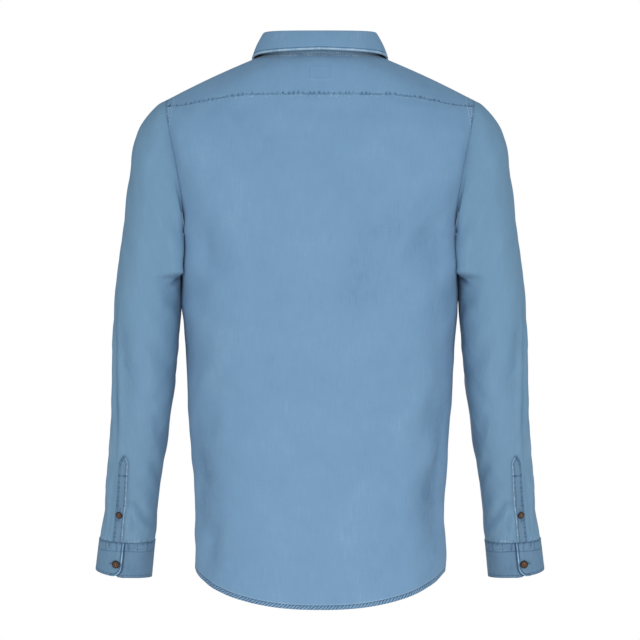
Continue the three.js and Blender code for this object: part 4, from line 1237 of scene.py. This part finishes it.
def on_sleeve(row, angle):
    """Points of the folded sleeve at rows and angles between its own."""
    r = np.clip(np.asarray(row) * SLEEVE_SIZE["rows"] / SLEEVE_ROWS, 0, SLEEVE_SIZE["rows"] - 1e-6)
    c = np.asarray(angle) * SLEEVE_SIZE["angles"] / 360
    i, j = np.floor(r).astype(int), np.floor(c).astype(int)
    u, v = (r - i)[..., None], (c - j)[..., None]
    low = mix(sleeve_grid[i, j], sleeve_grid[i, j + 1], v)
    high = mix(sleeve_grid[i + 1, j], sleeve_grid[i + 1, j + 1], v)
    return mix(low, high, u)


WRIST = np.array([257.0, -30.0, 0.0])  # the sleeve's middle beside its placket
strip_rows = np.linspace(SLIT["bottom"], SLIT["top"], 60)
slit_rows = np.concatenate([strip_rows, np.linspace(SLIT["top"], SLIT["point"], 9)[1:]])
down = (slit_rows - SLIT["point"]) / (SLIT["bottom"] - SLIT["point"])
slit_from, slit_to = mix(*SLIT["from"], down), mix(*SLIT["to"], down)
slit_middle = (slit_from + slit_to) / 2
tip = np.clip((SLIT["top"] - slit_rows) / (SLIT["top"] - SLIT["point"]), 0, 1)
half_width = (slit_to - slit_from) / 2 * (1 - (0.97 * tip) ** SLIT["round"])
slit_angles = slit_middle[:, None] + half_width[:, None] * np.linspace(-1, 1, 13)[None, :]
button_angle = float(np.interp(-SLIT["button"], -slit_rows, slit_middle)) - 0.8
slit_grid = on_sleeve(slit_rows[:, None] + slit_angles * 0, slit_angles)
slit_out = flattened(slit_grid - WRIST)
slit_grid = slit_grid + grid_normals(slit_grid, slit_out) * (SLIT["lay"] + CLOTH)


# Buttons
# A button: its mesh, then shares of its radius (the place and size of the holes, the rim's place
# and width, the foot) and shares of its height (the face, the rim over it, the worn edge, the holes)
BUTTON = {"rings": 26, "turns": 72, "holes": 0.24, "hole": 0.13, "rim": 0.86, "rim_width": 0.1}
BUTTON.update({"foot": 0.86, "face": 0.62, "over": 0.38, "worn": 0.55, "sunk": 0.55})
# Stitches of a buttonhole
HOLE = {"pitch": 0.55, "off": 0.62, "length": 1.1, "thick": 0.5, "lift": 0.05}
HOLE.update({"end": 0.4, "end_half": 1.0, "end_pitch": 0.5, "end_length": 1.3})
# Thread over a button: strands beside each other, height, length and thickness
STRANDS = {"beside": (-0.28, 0, 0.28), "height": 0.66, "length": 2.6, "thick": 0.42}


def button_mesh(name, radius, height):
    """A sewn-through button: a dished face in a raised rim, with four holes."""
    rings, turns = BUTTON["rings"], BUTTON["turns"]
    hole_radius, hole_place = radius * BUTTON["hole"], radius * BUTTON["holes"]
    signs = (-1, 1)
    verts = []
    for i in range(rings + 1):
        q = i / rings
        for k in range(turns):
            w = 2 * math.pi * k / turns
            x, y = q * radius * math.cos(w), q * radius * math.sin(w)
            rim = math.exp(-(((q - BUTTON["rim"]) / BUTTON["rim_width"]) ** 2))
            worn = BUTTON["worn"] * max(0, (q - 0.9) / 0.1) ** 2
            z = height * (BUTTON["face"] + BUTTON["over"] * rim - worn)
            hole = min(math.hypot(x - sx * hole_place, y - sy * hole_place) for sx in signs for sy in signs)
            z -= height * BUTTON["sunk"] * float(ease((hole_radius * 1.25 - hole) / (hole_radius * 0.5)))
            verts.append((x, y, z))
    faces = []
    for i in range(rings):
        for k in range(turns):
            a, b = i * turns + k, i * turns + (k + 1) % turns
            faces.append((a, b, b + turns, a + turns))
    last = rings * turns
    base = len(verts)
    verts += [(BUTTON["foot"] * x, BUTTON["foot"] * y, 0.0) for x, y, _ in verts[last : last + turns]]
    for k in range(turns):
        a, b = last + k, last + (k + 1) % turns
        faces.append((a, b, base + (k + 1) % turns, base + k))
    faces.append(tuple(base + k for k in reversed(range(turns))))
    mesh = bpy.data.meshes.new(name)
    mesh.from_pydata([tuple(v * MM for v in p) for p in verts], [], faces)
    mesh.polygons.foreach_set("use_smooth", np.ones(len(mesh.polygons), bool))
    from_middle = np.append(np.repeat(np.arange(rings + 1) / rings, turns), np.ones(turns))
    layer = mesh.attributes.new("face", "FLOAT_VECTOR", "POINT")
    layer.data.foreach_set("vector", np.repeat(from_middle, 3).astype(np.float32))
    mesh.materials.append(HORN)
    return mesh


def cloth_normal(rise, across, away):
    """The unit normal of the cloth, on the side that away points to."""
    normal = np.cross(rise, across)
    return unit(normal * np.sign(np.dot(normal, away)))


def add_button(name, place, out, rise, radius, height, hole_up, hole=1.5):
    """A button with its thread, and the buttonhole that it is pushed through."""
    out = unit(np.array(out, float))
    right = unit(np.cross(rise, out))
    top = np.cross(out, right)
    mesh = button_mesh(f"horn_{name}", radius, height)
    local = np.array([v.co for v in mesh.vertices])
    mesh.vertices.foreach_set("co", (local @ np.stack([right, top, out]) + place * MM).ravel())
    settle(added(f"horn_{name}", mesh), name, slot="button")
    spread = radius * BUTTON["holes"]
    beside = [sign * spread + shift for sign in (-1, 1) for shift in STRANDS["beside"]]
    centres = place + right * np.array(beside)[:, None] + out * (height * STRANDS["height"])
    bars("button_thread", centres, out, top, spread * STRANDS["length"], STRANDS["thick"])
    # buttonhole: close stitches on both sides of its slit, and a bar of them at both ends
    along, across = (top, right) if hole_up else (right, top)
    size, half = radius * hole, HOLE["end_half"]
    sides = along * np.arange(-size, size + 0.01, HOLE["pitch"])[:, None]
    ends = across * np.arange(-half, half + 0.01, HOLE["end_pitch"])[:, None]
    for row, shift, run, length in (
        (sides, across * HOLE["off"], across, HOLE["length"]),
        (ends, along * (size + HOLE["end"]), along, HOLE["end_length"]),
    ):
        for sign in (-1, 1):
            centres = place + row + shift * sign + out * HOLE["lift"]
            bars("buttonhole_thread", centres, out, run, length, HOLE["thick"])


SIDES = {"left": 1, "right": -1}
CUFF_EDGE = {"pucker": 0.15, "mottle": 0.05, "reach": 6, "worn": (1.4, -0.28), "lines": (3.4,), "dark": 0.14}
CUFF_FLAP = {"pucker": 0.15, "mottle": 0.05, "reach": 6, "worn": (1.8, 0.42), "lines": (2.9,), "dark": 0.4}
CUFF_JOIN = {"pucker": 0.5, "mottle": 0.15, "specks": 0.26, "middle": 6, "reach": 9, "wave": 9.5}
CUFF_JOIN.update({"worn": (1.0, -0.26), "lines": (1.8, 13.5), "dark": 0.16})
sleeve_finish = denim(
    "denim_sleeve",
    {
        # The narrow dark band on the sleeve at the armhole seam is painted shade where the sleeve meets the
        # body
        "arm": {"pucker": 0.06, "mottle": 0.03, "reach": 6, "worn": (1.6, -0.12)},
        "wrist": {"pucker": 0.45, "mottle": 0.18, "specks": 0.34, "reach": 8, "worn": (0.9, -0.1)},
    },
    tint=(0.168, 0.298, 0.435, 1),
)
cuff_finish = denim(
    "denim_cuff",
    {"join": CUFF_JOIN, "end": CUFF_EDGE, "over": CUFF_FLAP},
    lightness=-0.1,
    tint=(0.150, 0.262, 0.385, 1),
)
SLIT_EDGE = {"pucker": 0.2, "reach": 6}
slit_finish = denim(
    "denim_sleeve_placket",
    {
        # The dark band along the strip's outer edge is painted shade beside the strip's raised edge
        "outer_edge": {**SLIT_EDGE, "mottle": 0.12, "worn": (1.2, -0.24), "lines": (2.4,)},
        "inner_edge": {**SLIT_EDGE, "mottle": 0.06, "worn": (1.9, 0.44), "lines": (3.0,)},
        "tip": {"pucker": 0.2, "mottle": 0.1, "reach": 5, "worn": (1.3, -0.34)},
        "box": {"pucker": 0.1, "mottle": 0.1, "reach": 3, "worn": (1.3, -0.42)},
    },
    lightness=-0.1,
    tint=(0.155, 0.265, 0.385, 1),
)
BUTTON_LIFT = 0.15
SMALL = {"radius": 5.0, "height": 2.4}
LARGE = {"radius": 5.75, "height": 2.6}
sleeves = {}
for side, sign in SIDES.items():
    outer, out = on_side(sleeve_grid, sign), on_side(sleeve_out, sign)
    sleeve = Cloth(f"denim_sleeve_{side}", outer, out, wrap=True, lift=sleeve_lift)
    sleeve.edges(arm=0, wrist=-1)
    sleeve_obj = settle(sleeve.build(sleeve_finish, INSIDE), f"sleeve_{side}")
    cuff = Cloth(f"denim_cuff_{side}", on_side(cuff_grid, sign), on_side(cuff_out, sign), wall=DOUBLE)
    cuff.edges(join=-1, end=0, over=(ALL, 0))
    cuff_obj = settle(cuff.build(cuff_finish, INSIDE), f"cuff_{side}")
    slit = Cloth(f"denim_sleeve_placket_{side}", on_side(slit_grid, sign), on_side(slit_out, sign))
    box = int(np.argmin(np.abs(slit_rows - SLIT["box"])))
    slit.edges(outer_edge=(ALL, 0), inner_edge=(ALL, -1), tip=-1, box=box)
    slit_obj = settle(slit.build(slit_finish, INSIDE), f"sleeve_placket_{side}")
    sleeves[side] = {"cuff": cuff, "slit": slit, "objects": (sleeve_obj, cuff_obj, slit_obj)}

    row = SLIT["button"]
    spot, above = on_sleeve(row, button_angle), on_sleeve(row - 0.3, button_angle)
    rise = above - spot
    out = cloth_normal(rise, on_sleeve(row, 75) - on_sleeve(row, 60), flattened(spot - WRIST))
    place = spot + out * (SLIT["lay"] + CLOTH + BUTTON_LIFT)
    turned = [on_side(value, sign) for value in (place, out, rise)]
    add_button(f"sleeve_button_{side}", *turned, **SMALL, hole_up=True, hole=2.0)

    angle, height = CUFF_BUTTON["angle"], CUFF_BUTTON["height"]
    spot = cuff_point(angle, height)
    rise = cuff_point(angle, 0.9) - spot
    centre = np.mean(cuff_point(np.arange(0, 360, 15), np.full(24, 0.5)), axis=0)
    across = cuff_point(angle + 6, height) - cuff_point(angle - 6, height)
    out = cloth_normal(rise, across, spot - centre)
    place = spot + out * (CUFF_PROUD + 0.4)
    turned = [on_side(value, sign) for value in (place, out, rise)]
    add_button(f"cuff_button_{side}", *turned, **LARGE, hole_up=False)

middle_line = placket.outer[:, FRONT_SIZE["lap"]]
for i, z in enumerate(FRONT_BUTTON_Z):
    at = int(np.argmin(np.abs(middle_line[:, 2] - z)))
    out = placket.normal[at, FRONT_SIZE["lap"]]
    rise = middle_line[min(at + 2, len(middle_line) - 1)] - middle_line[at - 2]
    place = middle_line[at] + out * BUTTON_LIFT
    add_button(f"front_button_{i + 1}", place, out, rise, **LARGE, hole_up=True)
base, top = neckline(np.array(180.0)), stand_top(np.array(180.0))
rise = top - base
out = np.array([0.0, -rise[2], rise[1]])
place = mix(base, top, 0.45) + [0, 0, STAND["lift"]] + unit(out) * 0.2
add_button("stand_button", place, out, rise, **SMALL, hole_up=False)

# Topstitching
for cloth, edge_name, inset, side in (
    (yoke, "seam_top", 1.6, -1),
    (yoke, "arm_left", 2.0, -1),
    (yoke, "arm_right", 2.0, -1),
    (back, "hem", 5.6, 1),
    (back, "arm_left", 1.6, 1),
    (back, "arm_right", 1.6, -1),
):
    topstitch("stitches_body", cloth, edge_name, inset, side)
topstitch("stitches_collar", leaf, "rim", 3.5, -1)
for side, sign in SIDES.items():
    for piece, edge_name, inset, turn in (
        ("cuff", "join", 1.8, 1),
        ("cuff", "join", 13.5, 1),
        ("cuff", "end", 3.4, -1),
        ("slit", "outer_edge", 2.0, 1),
        ("slit", "inner_edge", 2.0, -1),
    ):
        topstitch("stitches_cuffs", sleeves[side][piece], edge_name, inset, turn * sign)
THREADS = {"button_thread": BUTTON_THREAD, "buttonhole_thread": HOLE_THREAD}
for name in sewing:
    build_sewing(name, THREADS.get(name, THREAD))

for side in SIDES:
    sleeve_obj, cuff_obj, slit_obj = sleeves[side]["objects"]

# Camera, light and a plain white surround
CAMERA = {"distance": 4.0, "height": -0.3625, "lens": 163}
camera = added("camera", bpy.data.cameras.new("camera"))
camera.data.lens = CAMERA["lens"]
camera.data.sensor_width = 36
camera.location = (0, CAMERA["distance"], CAMERA["height"])
camera.rotation_euler = (math.pi / 2, 0, math.pi)
bpy.context.scene.camera = camera
# Soft lights: where each one is, the height on the axis that it faces, its size and its watts
for name, place, aim, size, power in (
    ("key", (-0.35, 3.2, 0.1), -0.28, (1.0, 1.2), 38),
    ("back_left", (2.3, 2.4, 0.1), -0.3, (1.2, 1.6), 23),
    ("back_right", (-2.3, 2.4, 0.1), -0.3, (1.2, 1.6), 20),
    ("front", (0.35, -3.2, 0.0), -0.38, (1.0, 1.2), 60),
    ("left", (2.6, 0.3, 0.9), -0.38, (1.2, 1.6), 5.5),
    ("right", (-2.6, 0.3, 0.9), -0.38, (1.2, 1.6), 5.5),
):
    light = bpy.data.lights.new(name, "AREA")
    light.shape = "RECTANGLE"
    light.size, light.size_y = size
    light.energy = power
    lamp = added(name, light)
    lamp.location = place
    lamp.rotation_euler = (Vector((0, 0, aim)) - Vector(place)).to_track_quat("-Z", "Y").to_euler()

FLOOR = {"radius": 1.0, "height": -0.93, "corners": 96}
rim = [2 * math.pi * k / FLOOR["corners"] for k in range(FLOOR["corners"])]
mesh = bpy.data.meshes.new("floor")
circle = [(FLOOR["radius"] * math.cos(w), FLOOR["radius"] * math.sin(w), FLOOR["height"]) for w in rim]
mesh.from_pydata(circle, [], [tuple(range(FLOOR["corners"]))])
floor = added("floor", mesh)
pale = bpy.data.materials.new("pale_floor")
pale.use_nodes = True
for name, value in (
    ("Base Color", (0.96, 0.84, 0.79, 1)),
    ("Roughness", 0.9),
    ("Emission Color", (1, 0.99, 0.98, 1)),
    ("Emission Strength", 0.12),
):
    pale.node_tree.nodes["Principled BSDF"].inputs[name].default_value = value
mesh.materials.append(pale)

world = bpy.data.worlds.new("surround")
bpy.context.scene.world = world
n = Nodes(world)
seen = n.add("ShaderNodeLightPath").outputs["Is Camera Ray"]
strength = n.smooth(seen, 0.0, 1.0, 0.39, 1.0)
tint = n.blend(seen, (0.78, 0.93, 1, 1), (1, 1, 1, 1))
shade = n.add("ShaderNodeBackground", {"Color": tint, "Strength": strength})
n.add("ShaderNodeOutputWorld", {0: shade.outputs[0]})
bpy.context.scene.view_settings.view_transform = "Standard"
